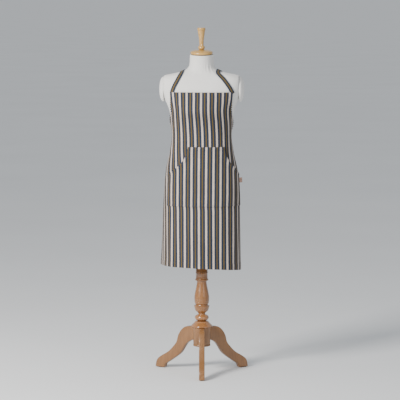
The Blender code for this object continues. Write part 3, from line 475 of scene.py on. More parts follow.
def jersey_knit(name):
    """Off-white stockinette: columns of small stitches, painted shade between them, and slight tension
    marks.
    """
    made, tree, shader = new_material(name, Sheen_Weight=0.2, Sheen_Roughness=0.6)
    cells = node(tree, "ShaderNodeTexVoronoi",
                 {"Vector": object_place(tree, (1, 1, 0.6)), "Scale": 850.0})
    pull = noise(tree, object_place(tree, (1, 1, 3.0)), 22.0, 3)
    soil = noise(tree, object_place(tree), 6.0, 4)
    colour = ramp(tree, soil, ((0.25, (0.76, 0.745, 0.715)), (0.75, (0.82, 0.81, 0.785))))
    # painted shade: the knit darker in the hollows round each stitch, where its bump is lowest
    shade = ranged(tree, cells.outputs["Distance"], 1.04, 0.86, 0.0, 0.7)
    tone = shaded(tree, colour, shade)
    feed(tree, shader, "Base Color", tone)
    feed(tree, shader, "Roughness", ranged(tree, soil, 0.82, 0.95))
    height = sum_of(tree, product(tree, cells.outputs["Distance"], -0.6), product(tree, pull, 1.6))
    bump(tree, shader, height, 0.3, 0.0005)
    return made


def varnished_wood(name, light, dark, roughness, coat, coat_roughness, turn=(0, 0, 0),
                   pith=(0.05, 0.03, 0)):
    """Varnished hardwood: growth rings round an off-centre pith, pores along the grain, worn edges, and
    painted shade in the hollows.
    """
    made, tree, shader = new_material(name, Coat_Weight=coat, Coat_Roughness=coat_roughness,
                                      Coat_IOR=1.5)
    place = object_place(tree, (1, 1, 0.10), turn, pith)
    rings = node(tree, "ShaderNodeTexWave",
                 {"Vector": place, "Scale": 62.0, "Distortion": 3.0, "Detail": 3.0,
                  "Detail Scale": 1.2, "Detail Roughness": 0.55},
                 wave_type="RINGS", rings_direction="Z", wave_profile="SAW")
    pores = noise(tree, object_place(tree, (1, 1, 0.035), turn), 420.0, 3, 0.6)
    cloud = noise(tree, object_place(tree, (1, 1, 0.25), turn), 16.0, 3)
    grain = sum_of(tree, product(tree, rings.outputs["Fac"], 0.6), product(tree, cloud, 0.5))
    tone = ramp(tree, grain, ((0.15, light), (0.85, dark)))
    tone = shaded(tree, tone, ranged(tree, pores, 0.72, 1.10, 0.32, 0.62))
    point = node(tree, "ShaderNodeNewGeometry").outputs["Pointiness"]
    worn = ranged(tree, point, 0.0, 0.35, 0.53, 0.62)
    tone = mixed(tree, worn, tone, (*[min(1, value * 1.5) for value in light], 1))
    # painted shade: the tone darkened in concave grooves and corners, where pointiness is low
    hollow = ranged(tree, point, 0.65, 1.0, 0.40, 0.49)
    tone = shaded(tree, tone, hollow)
    feed(tree, shader, "Base Color", tone)
    feed(tree, shader, "Roughness", ranged(tree, cloud, roughness - 0.06, roughness + 0.10, 0.3, 0.7))
    bump(tree, shader, sum_of(tree, product(tree, pores, 0.5), product(tree, rings.outputs["Fac"], 0.12)),
         0.12, 0.0006)
    return made


def plywood(name):
    """Raw plywood: a grained face, and thin light and dark plies at the edge."""
    made, tree, shader = new_material(name)
    grain = noise(tree, object_place(tree, (3, 60, 60)), 5.0, 4)
    height = node(tree, "ShaderNodeSeparateXYZ", [object_place(tree)]).outputs[2]
    plies = maths(tree, "SINE", product(tree, height, math.tau / 0.0052))
    face = ramp(tree, grain, ((0.3, (0.47, 0.33, 0.19)), (0.7, (0.34, 0.22, 0.12))))
    tone = shaded(tree, face, ranged(tree, plies, 0.78, 1.08, -1, 1))
    feed(tree, shader, "Base Color", tone)
    feed(tree, shader, "Roughness", ranged(tree, grain, 0.62, 0.82))
    bump(tree, shader, grain, 0.2, 0.0005)
    return made


def metal(name, colour, low, high, scratches=(1, 1, 0.04), scale=700.0, metallic=1.0):
    """Brushed or blackened steel with fine lines, and rubbed edges."""
    made, tree, shader = new_material(name, Metallic=metallic)
    lines = noise(tree, object_place(tree, scratches), scale, 3)
    smear = noise(tree, object_place(tree), 30.0, 3)
    tone = shaded(tree, (*colour, 1), ranged(tree, smear, 0.85, 1.12, 0.3, 0.7))
    point = node(tree, "ShaderNodeNewGeometry").outputs["Pointiness"]
    tone = mixed(tree, ranged(tree, point, 0.0, 0.5, 0.52, 0.62), tone, (0.55, 0.55, 0.55, 1))
    feed(tree, shader, "Base Color", tone)
    feed(tree, shader, "Roughness", ranged(tree, lines, low, high, 0.3, 0.7))
    bump(tree, shader, lines, 0.08, 0.0002)
    return made


def felt(name):
    made, tree, shader = new_material(name, Sheen_Weight=0.4, Roughness=0.97)
    fibre = noise(tree, object_place(tree), 1400.0, 4, 0.7)
    tone = ramp(tree, fibre, ((0.3, (0.055, 0.045, 0.038)), (0.7, (0.12, 0.10, 0.085))))
    feed(tree, shader, "Base Color", tone)
    bump(tree, shader, fibre, 0.6, 0.0006)
    return made


def moulded_shell(name):
    """Papier mache: layered pulp with a slight mottle."""
    made, tree, shader = new_material(name)
    mottle = noise(tree, object_place(tree), 120.0, 5, 0.6)
    patch = node(tree, "ShaderNodeTexVoronoi", {"Vector": object_place(tree), "Scale": 26.0})
    tone = ramp(tree, mottle, ((0.3, (0.62, 0.58, 0.50)), (0.7, (0.74, 0.71, 0.64))))
    feed(tree, shader, "Base Color", tone)
    feed(tree, shader, "Roughness", ranged(tree, mottle, 0.6, 0.8))
    bump(tree, shader, sum_of(tree, mottle, patch.outputs["Distance"]), 0.25, 0.0008)
    return made


# name, light, dark, roughness, coat, coat's roughness
WOODS = (
    ("leg_wood_turned", (0.285, 0.135, 0.049), (0.192, 0.086, 0.028), 0.36, 0.35, 0.16),
    ("gloss_wood", (0.42, 0.185, 0.060), (0.24, 0.095, 0.030), 0.20, 1.0, 0.025),
    ("column_wood", (0.33, 0.145, 0.045), (0.19, 0.075, 0.022), 0.30, 0.6, 0.12),
    ("golden_wood", (0.60, 0.36, 0.100), (0.44, 0.240, 0.055), 0.24, 0.8, 0.07),
)
FINISH = {row[0]: varnished_wood(*row) for row in WOODS}
FINISH.update({
    "board_wood": plywood("board_wood"),
    "steel": metal("steel", (0.56, 0.57, 0.58), 0.22, 0.40),
    "black_steel": metal("black_steel", (0.035, 0.035, 0.04), 0.35, 0.6, (1, 1, 1), 200.0),
    "black_knob": metal("black_knob", (0.02, 0.02, 0.022), 0.35, 0.55, (1, 1, 1), 300.0, 0.0),
    "felt": felt("felt"),
    "form_shell": moulded_shell("form_shell"),
    "jersey": jersey_knit("jersey"),
    "panel_cotton": striped_cotton("panel_cotton", PANEL_STRIPE_START),
    "pocket_cotton": striped_cotton("pocket_cotton", POCKET_STRIPE_START),
    "strap_cotton": band_cotton("strap_cotton", STRAP_WIDTH, GOLD, NAVY),
    "tie_cotton": band_cotton("tie_cotton", TIE_WIDTH, GOLD, NAVY),
    "label_cloth": plain_cloth("label_cloth", (0.56, 0.36, 0.29), 0.0006),
    "navy_thread": thread("navy_thread", (0.030, 0.045, 0.080)),
})


# ---------------------------------------------------------------- mesh helpers
def add_piece(name, mesh, finish, sharp_angle=None):
    """A mesh as a linked object with one finish and smooth shading."""
    mesh.name = name
    mesh.materials.clear()
    mesh.materials.append(FINISH[finish])
    mesh.shade_smooth()
    if sharp_angle:
        mesh.set_sharp_from_angle(angle=math.radians(sharp_angle))
    piece = bpy.data.objects.new(name, mesh)
    bpy.context.scene.collection.objects.link(piece)
    return piece


def smooth_faces(mesh, sharp_angle):
    """Smooth shading that keeps edges sharper than an angle in degrees."""
    mesh.shade_smooth()
    mesh.set_sharp_from_angle(angle=math.radians(sharp_angle))


def settle(piece, body, slot, *nodes):
    """Puts a finished piece on its body and hides the nodes it stands for. The slot is not used."""
    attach(piece, body)
    if nodes:
        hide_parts(*nodes)
    return piece


def cloth_piece(name, mesh, finish, slot, sharp_angle=CLOTH_SHARP_ANGLE):
    """A form-local cloth mesh as a piece that rides on the form and stands for its node."""
    mesh.transform(FORM_PLACE)
    return settle(add_piece(f"{name}_piece", mesh, finish, sharp_angle), "form", slot, name)


def mesh_from(bm):
    """A mesh from a bmesh, with its faces pointing outwards."""
    bmesh.ops.remove_doubles(bm, verts=bm.verts, dist=1e-6)
    bmesh.ops.recalc_face_normals(bm, faces=bm.faces)
    mesh = bpy.data.meshes.new("piece")
    bm.to_mesh(mesh)
    bm.free()
    return mesh


def loft(rings):
    """Joins rings of equally many points into a skin with closed ends."""
    bm = bmesh.new()
    rows = [[bm.verts.new(point) for point in ring] for ring in rings]
    for low, high in zip(rows, rows[1:]):
        count = len(low)
        for i in range(count):
            j = (i + 1) % count
            bm.faces.new((low[i], low[j], high[j], high[i]))
    bm.faces.new(rows[0])
    bm.faces.new(rows[-1])
    return bm


def bake_modifiers(piece):
    """Turns a piece's modifiers into its plain mesh."""
    graph = bpy.context.evaluated_depsgraph_get()
    graph.update()
    mesh = bpy.data.meshes.new_from_object(piece.evaluated_get(graph))
    piece.modifiers.clear()
    old = piece.data
    piece.data = mesh
    bpy.data.meshes.remove(old)
    return piece


def cut_away(piece, cutter_mesh):
    """Cuts a shape out of a piece for good."""
    cutter = bpy.data.objects.new("cutter", cutter_mesh)
    bpy.context.scene.collection.objects.link(cutter)
    boolean = piece.modifiers.new("cut", "BOOLEAN")
    boolean.operation = "DIFFERENCE"
    boolean.solver = "EXACT"
    boolean.object = cutter
    bake_modifiers(piece)
    bpy.data.objects.remove(cutter)
    return piece


def bar(radius, start, end, segments=24):
    """A round bar between two points, as a bmesh."""
    start, end = Vector(start), Vector(end)
    turn = (end - start).to_track_quat("Z", "Y").to_matrix()
    rings = []
    for centre in (start, end):
        ring = []
        for i in range(segments):
            angle = math.tau * (i + 0.5) / segments
            ring.append(centre + turn @ Vector((math.cos(angle), math.sin(angle), 0)) * radius)
        rings.append(ring)
    return loft(rings)


def smooth_line(points, steps=3):
    """A Catmull-Rom curve through the points."""
    line = []
    for i in range(len(points) - 1):
        before = points[max(i - 1, 0)]
        start, end = points[i], points[i + 1]
        after = points[min(i + 2, len(points) - 1)]
        for step in range(steps):
            t = step / steps
            line.append(tuple(
                0.5 * (2 * b + (c - a) * t + (2 * a - 5 * b + 4 * c - d) * t * t
                       + (3 * b - a - 3 * c + d) * t ** 3)
                for a, b, c, d in zip(before, start, end, after)
            ))
    line.append(tuple(points[-1]))
    return line


def arc(centre, radius, start, end, steps):
    """Points on a circle's arc in the (radius, height) plane; angles in degrees."""
    points = []
    for i in range(steps + 1):
        angle = math.radians(start + (end - start) * i / steps)
        points.append((centre[0] + radius * math.cos(angle), centre[1] + radius * math.sin(angle)))
    return points


def eased(stations, height):
    """The stations' columns at a height, on curves that don't overshoot."""
    rows = sorted(stations)
    height = min(max(height, rows[0][0]), rows[-1][0])
    k = max(i for i in range(len(rows) - 1) if rows[i][0] <= height)
    span = rows[k + 1][0] - rows[k][0]
    t = (height - rows[k][0]) / span
    values = []
    for column in range(1, len(rows[0])):
        rise = [
            (rows[i + 1][column] - rows[i][column]) / (rows[i + 1][0] - rows[i][0])
            for i in range(len(rows) - 1)
        ]
        slope = []
        for end in (k, k + 1):
            before, after = rise[max(end - 1, 0)], rise[min(end, len(rise) - 1)]
            slope.append(2 * before * after / (before + after) if before * after > 0 else 0.0)
        a, b = rows[k][column], rows[k + 1][column]
        values.append(
            a * (2 * t ** 3 - 3 * t * t + 1) + b * (3 * t * t - 2 * t ** 3)
            + span * slope[0] * (t ** 3 - 2 * t * t + t) + span * slope[1] * (t ** 3 - t * t)
        )
    return values


def grid_normals(grid, around):
    """Outward unit normals of a grid whose rows go up and whose columns go front to left."""
    if around:
        across = np.roll(grid, -1, axis=1) - np.roll(grid, 1, axis=1)
    else:
        across = np.gradient(grid, axis=1)
    along = np.gradient(grid, axis=0)
    normals = np.cross(across, along)
    return normals / np.maximum(np.linalg.norm(normals, axis=2, keepdims=True), 1e-12)


def skin(grid, inner, outer, around=False, flat=None):
    """A closed wall between two offsets of a grid; flat is the cloth's place at each point."""
    rows, columns, _ = grid.shape
    normals = grid_normals(grid, around)
    points = np.concatenate([(grid + normals * offset).reshape(-1, 3) for offset in (inner, outer)])
    spans = columns if around else columns - 1
    layer = rows * columns

    def at(level, row, column):
        return level * layer + row * columns + column % columns

    faces = []
    for r in range(rows - 1):
        for c in range(spans):
            faces.append((at(1, r, c), at(1, r, c + 1), at(1, r + 1, c + 1), at(1, r + 1, c)))
            faces.append((at(0, r + 1, c), at(0, r + 1, c + 1), at(0, r, c + 1), at(0, r, c)))
    last = rows - 1
    for c in range(spans):
        faces.append((at(0, 0, c), at(0, 0, c + 1), at(1, 0, c + 1), at(1, 0, c)))
        faces.append((at(1, last, c), at(1, last, c + 1), at(0, last, c + 1), at(0, last, c)))
    if not around:
        end = columns - 1
        for r in range(rows - 1):
            faces.append((at(1, r, 0), at(1, r + 1, 0), at(0, r + 1, 0), at(0, r, 0)))
            faces.append((at(0, r, end), at(0, r + 1, end), at(1, r + 1, end), at(1, r, end)))
    mesh = bpy.data.meshes.new("skin")
    mesh.from_pydata(points.tolist(), [], faces)
    if flat is not None:
        places = np.tile(flat.reshape(-1, 2), (2, 1))
        corners = np.zeros(len(mesh.loops), dtype=np.int32)
        mesh.loops.foreach_get("vertex_index", corners)
        layer_uv = mesh.uv_layers.new(name="flat")
        layer_uv.data.foreach_set("uv", places[corners].astype(np.float32).ravel())
    mesh.update()
    return mesh


# ---------------------------------------------------------------- geometry node trees
def new_tree(name, inputs):
    """A geometry node tree with named inputs, given as (label, socket type, default)."""
    tree = bpy.data.node_groups.new(name, "GeometryNodeTree")
    tree.interface.new_socket("Geometry", in_out="INPUT", socket_type="NodeSocketGeometry")
    for label, kind, default in inputs:
        socket = tree.interface.new_socket(label, in_out="INPUT", socket_type=kind)
        if default is not None:
            socket.default_value = default
    tree.interface.new_socket("Geometry", in_out="OUTPUT", socket_type="NodeSocketGeometry")
    return tree, tree.nodes.new("NodeGroupInput").outputs


def close_tree(tree, geometry, finish):
    """Ends a tree in real geometry with its finish."""
    real = node(tree, "GeometryNodeRealizeInstances", [geometry])
    painted = node(tree, "GeometryNodeSetMaterial", {"Geometry": real, "Material": finish})
    out = tree.nodes.new("NodeGroupOutput")
    tree.links.new(painted.outputs[0], out.inputs[0])
    return tree


def run_tree(piece, tree, values):
    """Runs a tree on a piece with values for its named inputs and keeps the resulting mesh."""
    modifier = piece.modifiers.new(tree.name, "NODES")
    modifier.node_group = tree
    for item in tree.interface.items_tree:
        if item.in_out == "INPUT" and item.name in values:
            modifier[item.identifier] = values[item.name]
    return bake_modifiers(piece)


def turning_tree():
    """Spins a profile, given as a line of (radius, 0, height) points, round the Z axis."""
    tree, given = new_tree("Turned Piece", [
        ("Segments", "NodeSocketInt", 96), ("Finish", "NodeSocketMaterial", None),
    ])
    size = node(tree, "GeometryNodeAttributeDomainSize", [given["Geometry"]])
    count = size.outputs["Point Count"]
    around = sum_of(tree, given["Segments"], 1.0)
    grid = node(tree, "GeometryNodeMeshGrid", {"Vertices X": around, "Vertices Y": count})
    index = node(tree, "GeometryNodeInputIndex")
    row = maths(tree, "MODULO", index, count)
    step = maths(tree, "DIVIDE", index, count)
    step = maths(tree, "FLOOR", step)
    turn = maths(tree, "DIVIDE", product(tree, step, math.tau), given["Segments"])
    point = node(tree, "GeometryNodeSampleIndex", data_type="FLOAT_VECTOR", domain="POINT")
    tree.links.new(given["Geometry"], point.inputs["Geometry"])
    tree.links.new(node(tree, "GeometryNodeInputPosition").outputs[0], point.inputs["Value"])
    tree.links.new(row.outputs[0], point.inputs["Index"])
    parts = node(tree, "ShaderNodeSeparateXYZ", [point])
    cosine = maths(tree, "COSINE", turn)
    sine = maths(tree, "SINE", turn)
    place = node(tree, "ShaderNodeCombineXYZ", [
        product(tree, parts.outputs[0], cosine), product(tree, parts.outputs[0], sine), parts.outputs[2],
    ])
    spun = node(tree, "GeometryNodeSetPosition", {"Geometry": grid, "Position": place})
    joined = node(tree, "GeometryNodeMergeByDistance", {"Geometry": spun, "Distance": 1e-6})
    return close_tree(tree, joined, given["Finish"])


def stitch_tree():
    """Lays one small rounded stitch after another along lines."""
    tree, given = new_tree("Stitch Row", [
        ("Pitch", "NodeSocketFloat", STITCH_PITCH), ("Stitch Share", "NodeSocketFloat", 0.36),
        ("Thread Radius", "NodeSocketFloat", THREAD_RADIUS), ("Finish", "NodeSocketMaterial", None),
    ])
    line = node(tree, "GeometryNodeMeshToCurve", [given["Geometry"]])
    spaced = node(tree, "GeometryNodeResampleCurve", {"Curve": line, "Length": given["Pitch"]},
                  mode="LENGTH")
    tangent = node(tree, "GeometryNodeInputTangent")
    turn = node(tree, "FunctionNodeAlignRotationToVector", {"Vector": tangent}, axis="Z")
    stitch = node(tree, "GeometryNodeMeshUVSphere", {"Segments": 6, "Rings": 5, "Radius": 1.0})
    long = product(tree, given["Pitch"], given["Stitch Share"])
    size = node(tree, "ShaderNodeCombineXYZ", [given["Thread Radius"], given["Thread Radius"], long])
    placed = node(tree, "GeometryNodeInstanceOnPoints",
                  {"Points": spaced, "Instance": stitch.outputs["Mesh"], "Rotation": turn, "Scale": size})
    return close_tree(tree, placed, given["Finish"])


TURNING = turning_tree()
STITCHING = stitch_tree()


def line_mesh(lines):
    """A mesh of loose lines through the given points."""
    points, edges = [], []
    for line in lines:
        start = len(points)
        points += [tuple(point) for point in line]
        edges += [(start + i, start + i + 1) for i in range(len(line) - 1)]
    mesh = bpy.data.meshes.new("lines")
    mesh.from_pydata(points, edges, [])
    return mesh


def turned(name, profile, finish, place=STAND_PLACE, closed=True, segments=96, sharp_angle=42):
    """A turned piece from a (radius, height) profile, set at a place."""
    if closed:
        profile = list(profile) + [profile[0]]
    piece = add_piece(name, line_mesh([[(radius, 0, height) for radius, height in profile]]), finish)
    run_tree(piece, TURNING, {"Segments": segments, "Finish": FINISH[finish]})
    bm = bmesh.new()
    bm.from_mesh(piece.data)
    bmesh.ops.remove_doubles(bm, verts=bm.verts, dist=1e-6)
    bmesh.ops.recalc_face_normals(bm, faces=bm.faces)
    bm.to_mesh(piece.data)
    bm.free()
    piece.data.transform(place)
    piece.data.materials.clear()
    piece.data.materials.append(FINISH[finish])
    smooth_faces(piece.data, sharp_angle)
    return piece


def stitched(name, lines):
    """Rows of stitches along form-local lines, riding on the form."""
    finish = "navy_thread"
    piece = add_piece(name, line_mesh(lines), finish)
    run_tree(piece, STITCHING, {"Finish": FINISH[finish]})
    piece.data.transform(FORM_PLACE)
    piece.data.materials.clear()
    piece.data.materials.append(FINISH[finish])
    piece.data.shade_smooth()
    return settle(piece, "form", "striped_cloth")


# ---------------------------------------------------------------- stand
def hub_radius(height):
    share = (height - HUB_BOTTOM) / (HUB_TOP - HUB_BOTTOM)
    return HUB_LOW_RADIUS + (HUB_HIGH_RADIUS - HUB_LOW_RADIUS) * share


def leg_outline():
    """An S-curved leg from the side: the upper edge out to the toe, then the lower edge back."""
    sole = PAD_HEIGHT + CLEARANCE
    top = HUB_TOP - 0.001
    inside = HUB_LOW_RADIUS * 0.9
    upper = [
        (0.0545, top), (0.085, top - 0.003), (0.109, 0.205), (0.1285, 0.176), (0.1395, 0.140),
        (0.1555, 0.118), (0.186, 0.087), (0.2235, 0.064), (LEG_REACH - 0.015, 0.047),
        (LEG_REACH - 0.005, 0.030), (LEG_REACH, sole),
    ]
    lower = [
        (HEEL_RADIUS, sole), (0.2035, 0.0216), (0.178, 0.039), (0.1405, 0.065),
        (0.115, 0.087), (0.093, 0.120), (0.078, 0.139), (0.053, 0.1545),
    ]
    return [(inside, top)] + smooth_line(upper, 5) + smooth_line(lower, 5) + [(inside, 0.158)]


def leg_turn(index):
    """Leg 0 points to the front, the others follow round the axis."""
    return math.tau * index / 3 - math.pi / 2


def make_leg(index):
    """A sawn and rounded leg, its end hollowed to sit against the hub."""
    word = LEG_WORDS[index]
    half = LEG_THICKNESS / 2
    outline = leg_outline()
    bm = loft([[Vector((x, side, z)) for x, z in outline] for side in (-half, half)])
    angle = leg_turn(index)
    place = STAND_PLACE @ Matrix.Rotation(angle, 4, "Z")
    mesh = mesh_from(bm)
    mesh.transform(place)
    finish = f"leg_wood_{word}"
    tilt = math.radians(46)
    FINISH[finish] = varnished_wood(
        finish, (0.290, 0.138, 0.050), (0.198, 0.088, 0.029), 0.36, 0.35, 0.16,
        (0, tilt, -angle), (0.02 + 0.03 * index, 0.06, 0.01),
    )
    leg = add_piece(f"leg_{word}_piece", mesh, finish)
    bevel = leg.modifiers.new("rounded", "BEVEL")
    bevel.width = LEG_BEVEL
    bevel.segments = 3
    bevel.limit_method = "ANGLE"
    bevel.angle_limit = math.radians(60)
    bake_modifiers(leg)
    low, high = HUB_BOTTOM - 0.01, HUB_TOP + 0.01
    seat = bmesh.new()
    bmesh.ops.create_cone(
        seat, cap_ends=True, segments=96, radius1=hub_radius(low) + CLEARANCE / 3,
        radius2=hub_radius(high) + CLEARANCE / 3, depth=high - low,
        matrix=STAND_PLACE @ Matrix.Translation((0, 0, (low + high) / 2)),
    )
    cut_away(leg, mesh_from(seat))
    smooth_faces(leg.data, 38)
    return settle(leg, "stand", "leg_wood", f"leg_{word}")


def make_pad(index):
    """The felt pad under one foot, with a soft edge."""
    word = LEG_WORDS[index]
    middle = (LEG_REACH + HEEL_RADIUS) / 2
    place = STAND_PLACE @ Matrix.Rotation(leg_turn(index), 4, "Z") @ Matrix.Translation((middle, 0, 0))
    r, h = PAD_RADIUS, PAD_HEIGHT
    profile = [(0, 0), (r - 0.0006, 0), (r, 0.0006), (r, h - 0.0006), (r - 0.0006, h), (0, h)]
    pad = turned(f"foot_pad_{word}_piece", profile, "felt", place, closed=False, segments=32)
    return settle(pad, "stand", "felt", f"foot_pad_{word}")


def make_hub():
    lip = HUB_LOW_RADIUS + 0.0015
    profile = [(ROD_BORE_RADIUS, HUB_BOTTOM), (lip - 0.003, HUB_BOTTOM)]
    profile += arc((lip - 0.003, HUB_BOTTOM + 0.003), 0.003, -80, 0, 4)
    profile += [(lip, HUB_BOTTOM + 0.0075), (lip - 0.0008, HUB_BOTTOM + 0.0085)]
    profile += [(hub_radius(HUB_BOTTOM + 0.010) - 0.0008, HUB_BOTTOM + 0.010)]
    profile += [(hub_radius(HUB_BOTTOM + 0.0115), HUB_BOTTOM + 0.0115)]
    profile += [(hub_radius(HUB_BOTTOM + 0.05), HUB_BOTTOM + 0.05)]
    profile += [(HUB_HIGH_RADIUS - 0.0001, HUB_TOP - 0.0015), (HUB_HIGH_RADIUS - 0.0015, HUB_TOP)]
    profile += [(ROD_BORE_RADIUS, HUB_TOP)]
    return settle(turned("hub_piece", profile, "leg_wood_turned"), "stand", "leg_wood", "hub")


def make_turning():
    """Flange, glossy bead and thin neck, turned from one piece."""
    z = TURNING_BOTTOM
    wide = FLANGE_RADIUS
    profile = [(ROD_BORE_RADIUS, z), (wide - 0.0015, z)]
    profile += arc((wide - 0.0045, z + 0.0045), 0.0045, -60, 60, 8)
    profile += smooth_line([(wide - 0.003, z + 0.0092), (0.0428, z + 0.0165), (0.0365, z + 0.0225),
                            (0.0322, z + 0.0285)], 4)
    reach, half = BEAD_RADIUS - 0.012, 0.0165
    for i in range(21):
        turn = math.radians(-74 + 148 * i / 20)
        profile.append((0.012 + reach * math.cos(turn), z + 0.0465 + half * math.sin(turn)))
    top = z + TURNING_HEIGHT
    profile += [(NECK_RADIUS + 0.0006, top - 0.0030), (NECK_RADIUS, top - 0.0022), (NECK_RADIUS, top)]
    profile += [(ROD_BORE_RADIUS, top)]
    piece = turned("flange_and_bead_piece", profile, "gloss_wood")
    return settle(piece, "stand", "gloss_wood", "flange_and_bead")


def groove(radius, height, depth=0.0007, half=0.0011):
    """A fine turned groove in a profile."""
    return [(radius, height - half), (radius - depth, height - half * 0.4),
            (radius - depth, height + half * 0.4), (radius, height + half)]


def make_baluster():
    """Cup, groove and vase with three fine lines, hollow for the pole."""
    z = BALUSTER_BOTTOM
    top = z + BALUSTER_HEIGHT
    wide = BALUSTER_RADIUS
    cup = smooth_line([(NECK_RADIUS, z), (wide - 0.0170, z + 0.0060), (wide - 0.0085, z + 0.0130),
                       (wide - 0.0050, z + 0.020), (wide - 0.0015, z + 0.032), (wide, z + 0.0394)], 5)
    cup += [(wide - 0.0007, z + 0.0404), (wide - 0.0062, z + 0.0416), (wide - 0.0078, z + 0.0440)]
    low = smooth_line([(wide - 0.0082, z + 0.0460), (wide - 0.0040, z + 0.0515),
                       (wide - 0.0026, z + 0.0590)], 4)
    lines = groove(wide - 0.0023, z + 0.0605) + groove(wide - 0.0018, z + 0.0680)
    lines += groove(wide - 0.0017, z + 0.0765)
    high = smooth_line([(wide - 0.0020, z + 0.086), (wide - 0.0055, z + 0.107), (wide - 0.011, z + 0.133),
                        (wide - 0.0146, z + 0.156), (wide - 0.0130, top)], 5)
    inside = [(BORE_RADIUS, top), (BORE_RADIUS, BORE_BOTTOM), (ROD_BORE_RADIUS, BORE_BOTTOM),
              (ROD_BORE_RADIUS, z)]
    piece = turned("baluster_piece", cup + low + lines + high + inside, "column_wood")
    return settle(piece, "stand", "column_wood", "baluster")


def make_column():
    """The upper column with its two rings; the pole slides in it."""
    z, top = COLUMN_BOTTOM, COLUMN_TOP
    ring, plain = COLUMN_RING_RADIUS, COLUMN_RADIUS
    profile = [(BORE_RADIUS, z), (ring - 0.002, z)]
    profile += arc((ring - 0.00325, z + 0.00325), 0.00325, -70, 70, 8)
    profile += smooth_line([(ring - 0.0025, z + 0.0066), (plain + 0.0012, z + 0.0085),
                            (plain, z + 0.0115)], 3)
    profile += [(plain, z + 0.0355), (plain + 0.0006, z + 0.0362)]
    profile += arc((ring - 0.0055, z + 0.0407), 0.0028, -75, 75, 8)
    profile += [(plain + 0.0006, z + 0.0452), (plain, z + 0.0462)]
    profile += [(plain - 0.001, top - 0.001), (plain - 0.002, top), (BORE_RADIUS, top)]
    piece = turned("upper_column_piece", profile, "column_wood")
    return settle(piece, "stand", "column_wood", "upper_column")


def make_collar():
    """The steel clamp ring, with rounded rims and the hole for its screw."""
    z, top = COLLAR_BOTTOM, COLLAR_BOTTOM + COLLAR_HEIGHT
    wide, edge = COLLAR_RADIUS, 0.0012
    profile = [(BORE_RADIUS + edge / 2, z), (wide - edge, z), (wide - edge * 0.3, z + edge * 0.3),
               (wide, z + edge)]
    profile += [(wide, top - edge), (wide - edge * 0.3, top - edge * 0.3), (wide - edge, top)]
    profile += [(BORE_RADIUS + edge / 2, top), (BORE_RADIUS, top - edge / 2), (BORE_RADIUS, z + edge / 2)]
    piece = turned("clamp_collar_piece", profile, "steel", segments=72, sharp_angle=30)
    hole = bar(SCREW_RADIUS + CLEARANCE, (0, STAND_Y + POLE_RADIUS / 2, COLLAR_MIDDLE),
               (0, STAND_Y + COLLAR_RADIUS * 1.5, COLLAR_MIDDLE))
    cut_away(piece, mesh_from(hole))
    return settle(piece, "stand", "steel", "clamp_collar")


def make_clamp_screw():
    """The clamp screw with thread ridges, and its lobed knob."""
    start = BORE_RADIUS
    shank_end = start + SCREW_LENGTH
    count = KNOB_LOBES * 12

    def ring(radius, y, lobe=0.0):
        points = []
        for i in range(count):
            angle = math.tau * i / count
            size = radius * (1 + lobe * math.cos(KNOB_LOBES * angle))
            points.append(Vector((size * math.cos(angle), STAND_Y + y,
                                  COLLAR_MIDDLE + size * math.sin(angle))))
        return points

    rings = [ring(SCREW_RADIUS * 0.6, start), ring(SCREW_RADIUS * 0.85, start + 0.0012)]
    ridges = 28
    for i in range(ridges):
        y = start + 0.0016 + (SCREW_LENGTH - 0.003) * i / ridges
        rings += [ring(SCREW_RADIUS * 0.88, y), ring(SCREW_RADIUS, y + 0.0005)]
    rings += [ring(SCREW_RADIUS, shank_end), ring(0.0062, shank_end), ring(0.0062, shank_end + 0.0015)]
    for step in range(7):
        turn = math.radians(15 * step)
        rings.append(ring(0.0095 + (KNOB_RADIUS - 0.0095) * math.sin(turn),
                          shank_end + 0.0015 + 0.003 * (1 - math.cos(turn)), 0.10 * math.sin(turn)))
    for step in range(7):
        turn = math.radians(15 * step)
        rings.append(ring(KNOB_RADIUS * (0.80 + 0.20 * math.cos(turn)),
                          shank_end + KNOB_LENGTH - 0.003 + 0.003 * math.sin(turn),
                          0.10 * (0.6 + 0.4 * math.cos(turn))))
    rings += [ring(0.0050, shank_end + KNOB_LENGTH), ring(0.0042, shank_end + KNOB_LENGTH - 0.0008)]
    piece = add_piece("clamp_screw_piece", mesh_from(loft(rings)), "black_knob", 35)
    return settle(piece, "clamp_screw", "black_steel", "clamp_screw")


def make_pole():
    """The steel tube with rounded ends."""
    low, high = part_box("pole")
    r, edge = POLE_RADIUS, 0.001
    wall = 0.0015
    profile = [(r - wall, low.z + edge), (r - wall + 0.0005, low.z), (r - edge / 2, low.z),
               (r, low.z + edge), (r, high.z - edge), (r - edge, high.z), (0, high.z),
               (0, high.z - 0.004), (r - wall, high.z - 0.004)]
    piece = turned("pole_piece", profile, "steel", segments=64, sharp_angle=30)
    return settle(piece, "pole", "steel", "pole")


# ---------------------------------------------------------------- dress form
@lru_cache(maxsize=None)
def form_section(height):
    return eased(FORM_SECTIONS, height)


def form_point(height, angle):
    """A point of the form's surface. Angle 0 is the front, and it grows towards +X."""
    half, front, back, square, tilt = form_section(height)
    power = 2 / square
    x = math.copysign(half * abs(math.sin(angle)) ** power, math.sin(angle))
    depth = front if math.cos(angle) > 0 else back
    y = -math.copysign(depth * abs(math.cos(angle)) ** power, math.cos(angle))
    middle = (back - front) / 2
    z = height + (y - middle) * math.tan(math.radians(tilt))
    if math.cos(angle) > 0:
        for side in (-1, 1):
            away = ((x - side * BUST_X) ** 2 + (height - BUST_Z) ** 2) / BUST_SPREAD ** 2
            y -= BUST_RISE * math.exp(-away)
    return (min(max(x, -ARMHOLE_X), ARMHOLE_X), y, z)


def form_grid(columns=128):
    """The form's surface as rows of points, from the bottom up."""
    heights = np.concatenate([
        np.linspace(FORM_BOTTOM, 1.425, 92), np.linspace(1.430, 1.530, 44),
        np.linspace(1.535, FORM_TOP, 10),
    ])
    return np.array([
        [form_point(float(z), math.tau * i / columns) for i in range(columns)] for z in heights
    ])


